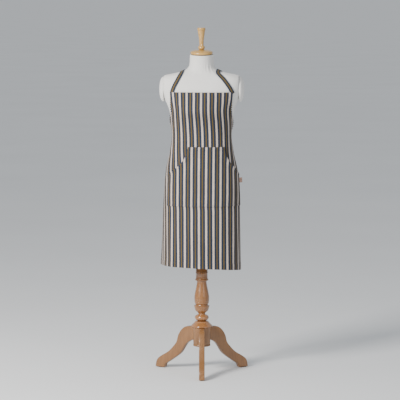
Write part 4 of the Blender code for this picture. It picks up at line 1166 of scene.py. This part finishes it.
def bvh_of(grid, offset, around=True):
    """A search tree of a grid's surface moved outwards."""
    moved = grid + grid_normals(grid, around) * offset
    rows, columns, _ = grid.shape
    faces = []
    for r in range(rows - 1):
        for c in range(columns if around else columns - 1):
            d = (c + 1) % columns
            faces.append((r * columns + c, r * columns + d, (r + 1) * columns + d, (r + 1) * columns + c))
    return BVHTree.FromPolygons([Vector(p) for p in moved.reshape(-1, 3)], faces)


def neck_puckers(grid):
    """Small folds of the cover where it is drawn in at the foot of the neck."""
    x, y, z = grid[..., 0], grid[..., 1], grid[..., 2]
    angle = np.arctan2(x, -y)
    near_neck = np.exp(-((z - 1.508) / 0.022) ** 2)
    ripple = np.sin(angle * 34 + 3 * np.sin(angle * 5)) * (0.5 + 0.5 * np.sin(angle * 3 + 0.6))
    side = 0.35 + 0.65 * np.exp(-((np.abs(angle) - 0.9) / 0.5) ** 2)
    shoulder = np.exp(-((z - 1.478) / 0.018) ** 2) * np.sin(angle * 16 + 1.1)
    strength = np.where(x > 0, 0.0021, 0.0014)
    return strength * near_neck * ripple * side + 0.0006 * shoulder


def back_seam(grid):
    """A shallow valley with a raised lip on each side, down the middle of the back."""
    x, y, z = grid[..., 0], grid[..., 1], grid[..., 2]
    behind = (y > 0).astype(float)
    away = np.abs(x)
    ridge = np.exp(-((away - 0.0035) / 0.0022) ** 2) * 0.0007
    valley = np.exp(-(away / 0.0012) ** 2) * 0.0009
    return behind * (ridge - valley)


def make_jersey(grid):
    """The stretched knit cover, from the shell's lower edge up to the neck."""
    puckers = (neck_puckers(grid) + back_seam(grid))[..., None]
    outer = COVER_OUTSIDE + np.maximum(puckers, -0.0009)
    mesh = skin(grid, COVER_INSIDE, outer, around=True)
    piece = add_piece("jersey_cover_piece", mesh, "jersey")
    for side in (-1, 1):
        hole = bar(ARM_PEG_RADIUS + CLEARANCE, (side * ARMHOLE_X * 0.8, 0, ARM_CAP_Z),
                   (side * ARMHOLE_X * 1.2, 0, ARM_CAP_Z), 40)
        cut_away(piece, mesh_from(hole))
    piece.data.transform(FORM_PLACE)
    smooth_faces(piece.data, 50)
    return settle(piece, "form", "jersey", "jersey_cover")


def make_arm_cap(word, side):
    """A covered dome that closes an armhole, gathered a little at its seam, with a peg."""
    base = ARMHOLE_X + COVER_OUTSIDE + CLEARANCE
    count = 72
    rings = []

    def ring(scale_y, scale_z, out, wobble=0.0):
        points = []
        for i in range(count):
            angle = math.tau * i / count
            swell = 1 + wobble * math.sin(angle * 18)
            points.append(Vector((side * (base + out), scale_y * swell * math.cos(angle),
                                  ARM_CAP_Z + scale_z * swell * math.sin(angle))))
        return points

    for degrees in range(87, 3, -4):
        turn = math.radians(degrees)
        size = math.cos(turn)
        rings.append(ring(ARM_CAP_HALF_DEPTH * size, ARM_CAP_HALF_HEIGHT * size,
                          ARM_CAP_RISE * math.sin(turn) ** 0.8, 0.003 * math.cos(turn) ** 6))
    rings.append(ring(ARM_CAP_HALF_DEPTH - 0.0002, ARM_CAP_HALF_HEIGHT - 0.0002, ARM_CAP_LIP[word]))
    rings.append(ring(ARM_CAP_HALF_DEPTH - 0.0012, ARM_CAP_HALF_HEIGHT - 0.0012, 0.0))
    rings += [ring(ARM_PEG_RADIUS, ARM_PEG_RADIUS, 0.0),
              ring(ARM_PEG_RADIUS, ARM_PEG_RADIUS, -ARM_PEG_LENGTH + 0.001)]
    rings.append(ring(ARM_PEG_RADIUS - 0.001, ARM_PEG_RADIUS - 0.001, -ARM_PEG_LENGTH))
    mesh = mesh_from(loft(rings))
    mesh.transform(FORM_PLACE)
    piece = add_piece(f"arm_cap_{word}_piece", mesh, "jersey", 50)
    body = f"arm_cap_{word}"
    return settle(piece, body, "jersey", body)


def neck_place():
    top = FORM_SECTIONS[-1]
    middle = Matrix.Translation((0, (top[3] - top[2]) / 2, top[0]))
    return FORM_PLACE @ middle @ Matrix.Rotation(NECK_TILT, 4, "X")


def make_neck_cap():
    """The turned wooden lid on the neck: a rounded rim and a low dome."""
    low = COVER_OUTSIDE
    wide = CAP_RADIUS
    top = low + CAP_HEIGHT
    profile = [(FINIAL_BORE_RADIUS, low), (wide - CAP_RIM * 0.6, low)]
    profile += arc((wide - CAP_RIM, low + CAP_RIM), CAP_RIM, -60, 50, 14)
    profile += smooth_line([(wide - 0.010, top - 0.0058), (wide - 0.021, top - 0.0024),
                            (wide - 0.036, top - 0.0005), (FINIAL_BORE_RADIUS, top)], 5)
    piece = turned("neck_cap_piece", profile, "golden_wood", neck_place(), sharp_angle=50)
    return settle(piece, "form", "golden_wood", "neck_cap")


def make_finial():
    """Ball and flared stem, turned from one piece, with a fine line below its rounded rim."""
    ball, squash = FINIAL_BALL_RADIUS, 0.76
    foot = math.degrees(math.acos(0.6))
    belly = [(r, z * squash) for r, z in arc((0, ball), ball, -foot, foot - 8, 22)]
    lift = -belly[0][1]
    stem_low = belly[-1][1] + 0.001
    top, wide = FINIAL_HEIGHT, FINIAL_RADIUS
    profile = [(FINIAL_BORE_RADIUS, belly[0][1])] + belly
    profile += smooth_line([(wide * 0.51, stem_low + 0.001), (wide * 0.56, top * 0.42),
                            (wide * 0.66, top * 0.55), (wide * 0.86, top * 0.80),
                            (wide - 0.0014, top - 0.0150)], 4)
    profile += [(wide - 0.0024, top - 0.0142), (wide - 0.0024, top - 0.0134), (wide - 0.0006, top - 0.0126)]
    profile += smooth_line([(wide, top - 0.0105), (wide, top - 0.0045)], 2)
    profile += arc((wide - 0.003, top - 0.003), 0.003, 10, 90, 6)
    profile += [(wide * 0.5, top + 0.0004), (0, top + 0.0004), (0, belly[0][1] + FINIAL_BORE_DEPTH)]
    profile += [(FINIAL_BORE_RADIUS, belly[0][1] + FINIAL_BORE_DEPTH)]
    place = neck_place() @ Matrix.Translation((0, 0, COVER_OUTSIDE + CAP_HEIGHT + CLEARANCE + lift))
    piece = turned("finial_piece", profile, "golden_wood", place, sharp_angle=48)
    return settle(piece, "finial", "golden_wood", "finial")


def make_base_board():
    """The plywood board that closes the form below, with eased edges and the socket's hole."""
    half, front, back, square, _ = form_section(FORM_BOTTOM)
    power = 2 / square
    count = 128
    rings = []
    for z, inset in ((BOARD_BOTTOM, 0.0062), (BOARD_BOTTOM + 0.001, 0.0052),
                     (BOARD_TOP - 0.001, 0.0052), (BOARD_TOP, 0.0062)):
        ring = []
        for i in range(count):
            angle = math.tau * i / count
            depth = (front if math.cos(angle) > 0 else back) - inset
            x = math.copysign((half - inset) * abs(math.sin(angle)) ** power, math.sin(angle))
            y = -math.copysign(depth * abs(math.cos(angle)) ** power, math.cos(angle))
            ring.append(Vector((x, y, z)))
        rings.append(ring)
    piece = add_piece("base_board_piece", mesh_from(loft(rings)), "board_wood")
    cut_away(piece, mesh_from(bar(SOCKET_OUTER_RADIUS + CLEARANCE, (0, 0, BOARD_BOTTOM - 0.01),
                                  (0, 0, BOARD_TOP + 0.01), 64)))
    piece.data.transform(FORM_PLACE)
    smooth_faces(piece.data, 30)
    return settle(piece, "form", "board_wood", "base_board")


# ---------------------------------------------------------------- apron
def apron_section(height):
    """The oval that the cloth follows: the form plus its clearance, or the free-hanging skirt."""
    half, front, back, square, _ = form_section(max(height, FORM_BOTTOM))
    bust = BUST_CLOTH_RISE * math.exp(-((height - BUST_Z) / BUST_SPREAD) ** 2)
    worn = (half, front + bust, back)
    hang = eased(HANG_SECTIONS, height)
    return [max(a + APRON_INSIDE, b) for a, b in zip(worn, hang)], square


@lru_cache(maxsize=None)
def cloth_line(height):
    """The cloth's level line from the front's middle to the back's: its length so far, x and y."""
    (half, front, back), square = apron_section(height)
    power = 2 / square
    angles = np.linspace(0, math.pi, 361)
    cosine = np.cos(angles)
    x = half * np.maximum(np.sin(angles), 0) ** power
    y = -np.sign(cosine) * np.where(cosine > 0, front, back) * np.abs(cosine) ** power
    if height > WAIST_CORNER:
        x = np.minimum(x, ARMHOLE_X + APRON_INSIDE)
    walked = np.concatenate([[0], np.cumsum(np.hypot(np.diff(x), np.diff(y)))])
    return walked, x, y


def worn_point(height, across):
    """The cloth's inner face at a height, a length of cloth away from the middle of the front."""
    walked, x, y = cloth_line(height)
    away = abs(across)
    out = math.copysign(float(np.interp(away, walked, x)), across)
    return (out, float(np.interp(away, walked, y)), height)


def half_girth(height):
    return float(cloth_line(height)[0][-1])


def apron_half_width(height):
    """Half the flat width: the bib, its hollow armhole curve, and the straight skirt."""
    if height <= WAIST_CORNER:
        return SKIRT_HALF_WIDTH
    share = (BIB_TOP - height) / (BIB_TOP - WAIST_CORNER)
    return BIB_HALF_WIDTH + (SKIRT_HALF_WIDTH - BIB_HALF_WIDTH) * share ** 2.1


def bib_shift(height):
    """How far the cloth's middle has moved to the form's left, from the waist up to the bib's top."""
    return BIB_SHIFT * max(height - WAIST_CORNER, 0.0) / (BIB_TOP - WAIST_CORNER)


def hem_drop(height, across):
    """How much lower the cloth lies near the hem, which falls towards the form's left."""
    share = min(max((HEM_SLOPE_TOP - height) / (HEM_SLOPE_TOP - HEM), 0.0), 1.0)
    return (HEM_SLOPE * across + HEM_BOW * across ** 2) * share


def lean(height):
    """How far the panel's stripes have moved sideways at a height."""
    heights = [row[0] for row in STRIPE_LEAN][::-1]
    shifts = [row[1] for row in STRIPE_LEAN][::-1]
    return float(np.interp(height, heights, shifts))


def step_up(value, start, end):
    """0 before start, 1 after end, and smooth between."""
    share = np.clip((value - start) / (end - start), 0, 1)
    return share * share * (3 - 2 * share)


PANEL_HEIGHTS = np.concatenate([
    np.linspace(HEM, WAIST_CORNER, 118), np.linspace(WAIST_CORNER, BIB_TOP, 116)[1:],
])
PANEL_COLUMNS = 150


def panel_folds(height, across):
    """How far the cloth stands out from its smooth wrap: soft flutes, and gathers at the armholes."""
    half = apron_half_width(height)
    down = float(step_up(WAIST_CORNER - height, 0.05, 0.60))
    side = abs(across) / SKIRT_HALF_WIDTH
    flute = math.sin(across * math.tau / FLUTE_PITCH + 0.7 + 0.8 * math.sin(across * 9 + 1.0))
    out = FLUTE_DEPTH * down * flute * (0.35 + 0.9 * side ** 2)
    out += CREASE_DEPTH * down * math.sin(across * math.tau / CREASE_PITCH + height * 14)
    if height > WAIST_CORNER - 0.02:
        edge = half - abs(across)
        near = math.exp(-(edge / 0.014) ** 2)
        along = math.sin(height * math.tau / GATHER_PITCH + (0.6 if across > 0 else 0.0))
        level = float(step_up(height, 1.16, 1.22) * (1 - step_up(height, 1.33, 1.36)))
        out += GATHER_DEPTH * near * along * level
    tug = math.exp(-((height - TIE_Z) / 0.035) ** 2) * step_up(side, 0.45, 0.95)
    out -= TUG_DEPTH * float(tug) * (0.5 + 0.5 * math.sin(height * math.tau / TUG_PITCH))
    return out


def make_panel_grid():
    """The apron's inner face as rows from the hem up, and its flat places."""
    grid = np.zeros((len(PANEL_HEIGHTS), PANEL_COLUMNS + 1, 3))
    flat = np.zeros((len(PANEL_HEIGHTS), PANEL_COLUMNS + 1, 2))
    folds = np.zeros((len(PANEL_HEIGHTS), PANEL_COLUMNS + 1, 1))
    for r, height in enumerate(PANEL_HEIGHTS):
        height = float(height)
        half = apron_half_width(height)
        for c in range(PANEL_COLUMNS + 1):
            across = half * (2 * c / PANEL_COLUMNS - 1)
            grid[r, c] = worn_point(height - hem_drop(height, across), across + bib_shift(height))
            flat[r, c] = (across - lean(height), height)
            folds[r, c] = panel_folds(height, across)
    return grid + grid_normals(grid, False) * folds, flat


def on_panel(grid, normals, height, across):
    """The panel's inner face and its normal at a height and a length across."""
    row = float(np.interp(height, PANEL_HEIGHTS, np.arange(len(PANEL_HEIGHTS))))
    half = apron_half_width(height)
    column = min(max((across / half + 1) / 2, 0), 1) * PANEL_COLUMNS
    r, c = min(int(row), len(PANEL_HEIGHTS) - 2), min(int(column), PANEL_COLUMNS - 1)
    fr, fc = row - r, column - c
    values = []
    for source in (grid, normals):
        low = source[r, c] * (1 - fc) + source[r, c + 1] * fc
        high = source[r + 1, c] * (1 - fc) + source[r + 1, c + 1] * fc
        values.append(low * (1 - fr) + high * fr)
    return values


def panel_thickness():
    """The cloth's thickness over the panel: doubled in the hems."""
    thick = np.zeros((len(PANEL_HEIGHTS), PANEL_COLUMNS + 1, 1))
    for r, height in enumerate(PANEL_HEIGHTS):
        half = apron_half_width(float(height))
        for c in range(PANEL_COLUMNS + 1):
            across = abs(half * (2 * c / PANEL_COLUMNS - 1))
            side, below, above = half - across, height - HEM, BIB_TOP - height
            hem = max(1 - step_up(side, 0.009, 0.0125), 1 - step_up(below, 0.024, 0.029),
                      1 - step_up(above, 0.020, 0.025))
            thick[r, c, 0] = SINGLE_CLOTH + PANEL_HEM_CLOTH * float(hem)
    return thick


def make_panel(grid, flat):
    mesh = skin(grid, 0.0, panel_thickness(), flat=flat)
    return cloth_piece("apron_panel", mesh, "panel_cotton", "striped_cloth")


def pocket_half_width(height):
    if height <= POCKET_CORNER:
        return POCKET_HALF_WIDTH
    share = (POCKET_TOP - height) / (POCKET_TOP - POCKET_CORNER)
    flare = POCKET_HALF_WIDTH - POCKET_TOP_HALF_WIDTH
    return POCKET_TOP_HALF_WIDTH + flare * share ** POCKET_OPENING_CURVE


POCKET_COLUMNS = 120


def pocket_lift(height, across):
    """How far the pocket stands off the panel: sewn down at its seams, loose at the hand openings."""
    half = pocket_half_width(height)
    side = half - abs(across - POCKET_CENTRE)
    sewn = max(1 - step_up(height - POCKET_BOTTOM, 0.004, 0.040),
               1 - step_up(POCKET_TOP - height, 0.004, 0.03))
    if height < POCKET_CORNER:
        sewn = max(sewn, 1 - step_up(side, 0.003, 0.030))
    mouth = 0.0
    if POCKET_CORNER - 0.02 < height < POCKET_TOP:
        middle = math.sin(math.pi * (height - POCKET_CORNER + 0.02) / (POCKET_TOP - POCKET_CORNER + 0.02))
        mouth = 0.0042 * middle * math.exp(-(side / 0.020) ** 2)
    return POCKET_OFFSET + 0.0010 * (1 - float(sewn)) + mouth


def make_pocket(panel, normals):
    heights = np.concatenate([
        np.linspace(POCKET_BOTTOM, POCKET_CORNER, 48), np.linspace(POCKET_CORNER, POCKET_TOP, 46)[1:],
    ])
    shape = (len(heights), POCKET_COLUMNS + 1)
    grid, flat, thick = np.zeros((*shape, 3)), np.zeros((*shape, 2)), np.zeros((*shape, 1))
    for r, height in enumerate(heights):
        height = float(height)
        half = pocket_half_width(height)
        for c in range(POCKET_COLUMNS + 1):
            across = POCKET_CENTRE + half * (2 * c / POCKET_COLUMNS - 1)
            point, normal = on_panel(panel, normals, height, across)
            grid[r, c] = point + normal * pocket_lift(height, across)
            flat[r, c] = (across, height)
            side = half - abs(across - POCKET_CENTRE)
            hem = max(1 - step_up(side, 0.012, 0.016), 1 - step_up(POCKET_TOP - height, 0.016, 0.020),
                      1 - step_up(height - POCKET_BOTTOM, 0.007, 0.010))
            thick[r, c, 0] = SINGLE_CLOTH + POCKET_HEM_CLOTH * float(hem)
    mesh = skin(grid, 0.0, thick, flat=flat)
    return cloth_piece("pocket_panel", mesh, "pocket_cotton", "striped_cloth")


def band(name, path, normals, width, thickness, finish, widths=None):
    """A woven band on a form-local path, with rounded edges, and its length."""
    path = [Vector(p) for p in path]
    rows, flat, thick = [], [], []
    walked = 0.0
    for i, (point, normal) in enumerate(zip(path, normals)):
        along = (path[min(i + 1, len(path) - 1)] - path[max(i - 1, 0)]).normalized()
        normal = (Vector(normal) - along * Vector(normal).dot(along)).normalized()
        side = along.cross(normal)
        wide = width * (widths[i] if widths else 1.0)
        if i:
            walked += (point - path[i - 1]).length
        row, places, walls = [], [], []
        for c in range(BAND_COLUMNS + 1):
            share = 2 * c / BAND_COLUMNS - 1
            row.append(point + side * wide / 2 * share)
            places.append((width / 2 * share, walked))
            walls.append([thickness * (1 - 0.45 * share ** 6)])
        rows.append(row)
        flat.append(places)
        thick.append(walls)
    grid = np.array([[tuple(p) for p in row] for row in rows])
    mesh = skin(grid, 0.0, np.array(thick), flat=np.array(flat))
    piece = add_piece(f"{name}_piece", mesh, finish, CLOTH_SHARP_ANGLE)
    piece.data.transform(FORM_PLACE)
    return settle(piece, "form", "strap_cloth", name), walked


def laid_on(tree, points, clearance):
    """The points moved onto a surface, a clearance above it, with the normals there."""
    path, normals = [], []
    for point in points:
        place, normal, _, _ = tree.find_nearest(Vector(point))
        if point[1] < STRAP_FRONT:
            from_front = Vector((point[0], -0.4, point[2]))
            place, normal, _, _ = tree.ray_cast(from_front, Vector((0, 1, 0)))
        if normal.dot(Vector((point[0], point[1], 0.02))) < 0:
            normal = -normal
        path.append(place + normal * clearance)
        normals.append(normal)
    for _ in range(3):
        normals = [
            (normals[max(i - 1, 0)] + normals[i] * 2 + normals[min(i + 1, len(normals) - 1)]).normalized()
            for i in range(len(normals))
        ]
    return path, normals


def strap_half(start):
    """The strap's way from one corner of the bib over the shoulder to the nape."""
    across = start - STRAP_START_RIGHT
    return [
        (start, -0.112, BIB_TOP - 0.006), (0.129 + across * 0.7, -0.100, 1.420),
        (0.110 + across * 0.2, -0.085, 1.457), (0.096 - across * 0.7, -0.052, 1.484),
        (0.091 - across * 0.7, -0.005, 1.489), (0.084, 0.035, 1.488), (0.054, 0.070, 1.486),
        (0.0, 0.082, 1.485),
    ]


def make_neck_strap(tree):
    """The strap from one corner of the bib round the back of the neck to the other."""
    left = smooth_line(strap_half(STRAP_START_LEFT), 8)
    right = [(-x, y, z) for x, y, z in smooth_line(strap_half(STRAP_START_RIGHT), 8)[:-1]]
    path, normals = laid_on(tree, right + left[::-1], STRAP_CLEARANCE)
    return band("neck_strap", path, normals, STRAP_WIDTH, STRAP_THICKNESS, "strap_cotton")


def make_waist_tie(word, side):
    """The band from the skirt's top corner to the knot at the back."""
    start = apron_half_width(TIE_Z) - 0.004
    end = half_girth(TIE_Z) - KNOT_WIDTH / 2 + 0.004
    steps = 22
    path, normals = [], []
    for i in range(steps + 1):
        share = i / steps
        sag = -0.003 * math.sin(math.pi * share)
        x, y, z = worn_point(TIE_Z + sag, side * (start + (end - start) * share))
        out = Vector((x * 0.4, y, 0)).normalized()
        lift = 0.0021 + 0.0012 * math.sin(math.pi * share)
        path.append(Vector((x, y, z)) + out * lift)
        normals.append(out)
    widths = [1 - 0.45 * float(step_up(i / steps, 0.80, 1.0)) for i in range(steps + 1)]
    return band(f"waist_tie_{word}", path, normals, TIE_WIDTH, 0.0016, "tie_cotton", widths)


def make_knot(knot_y):
    """The bow's knot: the tie wrapped once round the others, with folds along it."""
    count = 48
    rings = []
    for i in range(15):
        share = -1 + 2 * i / 14
        size = (1 - abs(share) ** 5 * 0.42)
        ring = []
        for k in range(count):
            angle = math.tau * k / count
            fold = 1 + 0.045 * math.sin(angle * 9 + 2.2 * share) + 0.03 * math.sin(angle * 5 - 1.5 * share)
            ring.append(Vector((
                KNOT_WIDTH / 2 * size * fold * math.cos(angle),
                knot_y + KNOT_DEPTH / 2 * size * fold * math.sin(angle),
                TIE_Z + share * KNOT_HEIGHT / 2 + 0.0015 * math.cos(angle),
            )))
        rings.append(ring)
    mesh = mesh_from(loft(rings))
    uv = mesh.uv_layers.new(name="flat")
    for loop in mesh.loops:
        point = mesh.vertices[loop.vertex_index].co
        uv.data[loop.index].uv = (point.z - TIE_Z, point.x * 1.4 + point.y)
    return cloth_piece("bow_knot", mesh, "tie_cotton", "strap_cloth", 70)


def make_loop(word, side, knot_y):
    """One loop of the bow: out from the knot, round, and back in, drooping a little."""
    start = KNOT_WIDTH / 2 + 0.0006
    steps = 40
    line = []
    for i in range(steps + 1):
        turn = math.tau * i / steps
        out = (1 - math.cos(turn)) / 2
        x = start + LOOP_LENGTH * out
        y = knot_y + 0.006 + 0.004 * out + 0.011 * math.sin(turn) * (0.25 + 0.75 * out)
        line.append(Vector((side * x, y, TIE_Z - 0.022 * out - 0.004 * out * out)))
    line[0].y += 0.0012
    line[-1].y -= 0.0012
    centre = Vector((side * (start + LOOP_LENGTH * 0.6), knot_y + 0.009, TIE_Z))
    normals = []
    for i, p in enumerate(line):
        along = (line[min(i + 1, steps)] - line[max(i - 1, 0)]).normalized()
        normal = Vector((-along.y, along.x, 0))
        outward = Vector((p.x - centre.x, p.y - centre.y, 0))
        normal = normal if normal.dot(outward) > 0 else -normal
        share = i / steps
        normals.append((normal + Vector((0, 0, 0.35 * math.sin(math.tau * share)))).normalized())
    widths = [0.62 + 0.38 * float(step_up(min(i, steps - i) / steps, 0.0, 0.22)) for i in range(steps + 1)]
    return band(f"bow_loop_{word}", line, normals, TIE_WIDTH, 0.0014, "tie_cotton", widths)


def make_tail(word, side, tree, knot_y):
    """One free end of the waist tie, hanging down over the back of the form."""
    start = TIE_Z - KNOT_HEIGHT / 2 + 0.002
    steps = 44
    path, normals = [], []
    for i in range(steps + 1):
        share = i / steps
        x = side * (0.006 + TAIL_SPREAD * share ** 0.8 + TIE_WIDTH * 0.25)
        z = start - TAIL_LENGTH * share * 0.985
        place, _, _, _ = tree.ray_cast(Vector((x, 0.4, z)), Vector((0, -1, 0)))
        swing = 0.003 * math.sin(share * 9 + side) * share
        lift = 0.006 + 0.004 * math.exp(-share * 12) + 0.002 * math.sin(share * 7 + side)
        path.append(Vector((x + swing, place.y + lift, z)))
        normals.append(Vector((0.28 * math.sin(share * 8 + side * 0.6), 1, 0)).normalized())
    widths = [0.60 + 0.40 * float(step_up(i / steps, 0.0, 0.10)) for i in range(steps + 1)]
    return band(f"tie_end_{word}", path, normals, TIE_WIDTH, 0.0015, "tie_cotton", widths)


def make_label(panel, normals):
    """The small blank folded tab caught in the pocket's side seam."""
    across = POCKET_CENTRE + POCKET_HALF_WIDTH + 0.003
    base, normal = on_panel(panel, normals, LABEL_Z, across)
    near, _ = on_panel(panel, normals, LABEL_Z, across - 0.006)
    tangent = Vector(base - near).normalized()
    normal = Vector(normal).normalized()
    base = Vector(base)
    columns, rows = 14, 12
    grid = np.zeros((rows + 1, columns + 1, 3))
    flat = np.zeros((rows + 1, columns + 1, 2))
    for r in range(rows + 1):
        for c in range(columns + 1):
            share = c / columns
            out = 0.0022 + LABEL_WIDTH * share
            sway = 0.0012 * math.sin(share * 3 + r * 0.15)
            point = base + normal * out + tangent * sway + Vector((0, 0, LABEL_HEIGHT * (r / rows - 0.5)))
            grid[r, c] = tuple(point)
            flat[r, c] = (LABEL_WIDTH * share, LABEL_HEIGHT * r / rows)
    mesh = skin(grid, -0.0004, 0.0004, flat=flat)
    return cloth_piece("side_label", mesh, "label_cloth", "label_cloth")


def panel_line(panel, normals, places, lift):
    """A form-local line over the panel through (height, across) places."""
    line = []
    for height, across in places:
        point, normal = on_panel(panel, normals, height, across)
        line.append(tuple(point + normal * lift))
    return line


def make_panel_stitching(panel, normals):
    """The hems' topstitching: both sides, the hem and the bib's top."""
    inset = 0.0105
    lines = []
    for side in (-1, 1):
        heights = np.linspace(HEM + 0.004, BIB_TOP - 0.004, 260)
        places = [(float(z), side * (apron_half_width(float(z)) - inset)) for z in heights]
        lines.append(panel_line(panel, normals, places, STITCH_LIFT))
    for height, half in ((HEM + 0.0265, SKIRT_HALF_WIDTH), (BIB_TOP - 0.0225, BIB_HALF_WIDTH)):
        places = [(height, x) for x in np.linspace(-half + 0.003, half - 0.003, 220)]
        lines.append(panel_line(panel, normals, places, STITCH_LIFT))
    return stitched("hem_stitching", lines)


def make_pocket_stitching(panel, normals):
    """The pocket's seams and the double rows on its hand openings."""
    lines = []

    def sewn(places):
        line = []
        for height, across in places:
            point, normal = on_panel(panel, normals, height, across)
            line.append(tuple(point + normal * (pocket_lift(height, across) + 0.0018)))
        lines.append(line)

    for inset in (0.0025, 0.0140):
        heights = np.linspace(POCKET_BOTTOM + 0.003, POCKET_TOP - 0.003, 120)
        for side in (-1, 1):
            sewn([(float(z), POCKET_CENTRE + side * (pocket_half_width(float(z)) - inset))
                  for z in heights])
    for height in (POCKET_BOTTOM + 0.0025, POCKET_BOTTOM + 0.0085, POCKET_TOP - 0.0025, POCKET_TOP - 0.018):
        half = pocket_half_width(height) - 0.002
        sewn([(height, POCKET_CENTRE + float(x)) for x in np.linspace(-half, half, 180)])
    return stitched("pocket_stitching", lines)


# ---------------------------------------------------------------- whole object
def paint_node(name, finish):
    """Gives a kept node of the frame its finish."""
    for holder in frame["nodes"][name].material_slots:
        holder.material = FINISH[finish]


def make_stand():
    for index in range(3):
        make_leg(index)
        make_pad(index)
        paint_node(f"leg_bolt_{LEG_WORDS[index]}", "black_steel")
    make_hub()
    make_turning()
    make_baluster()
    make_column()
    make_collar()
    make_clamp_screw()
    make_pole()
    for name in ("tie_rod", "rod_nut", "rod_washer"):
        paint_node(name, "black_steel")


def make_form():
    grid = form_grid()
    jersey = make_jersey(grid)
    make_arm_cap("right", -1)
    make_arm_cap("left", 1)
    make_neck_cap()
    make_finial()
    make_base_board()
    paint_node("form_shell", "form_shell")
    paint_node("pole_socket", "steel")
    paint_node("finial_screw", "steel")
    return bvh_of(grid, COVER_OUTSIDE)


def make_apron(tree):
    grid, flat = make_panel_grid()
    normals = grid_normals(grid, False)
    panel = make_panel(grid, flat)
    hems = make_panel_stitching(grid, normals)
    pocket = make_pocket(grid, normals)
    seams = make_pocket_stitching(grid, normals)
    label = make_label(grid, normals)
    strap, length = make_neck_strap(tree)
    knot_y = apron_section(TIE_Z)[0][2] + KNOT_DEPTH / 2
    make_knot(knot_y)
    for side, word in ((-1, "right"), (1, "left")):
        for maker, arguments in ((make_waist_tie, (word, side)), (make_loop, (word, side, knot_y)),
                                 (make_tail, (word, side, tree, knot_y))):
            piece, length = maker(*arguments)


make_camera()
make_light()
make_floor()
make_stand()
make_apron(make_form())
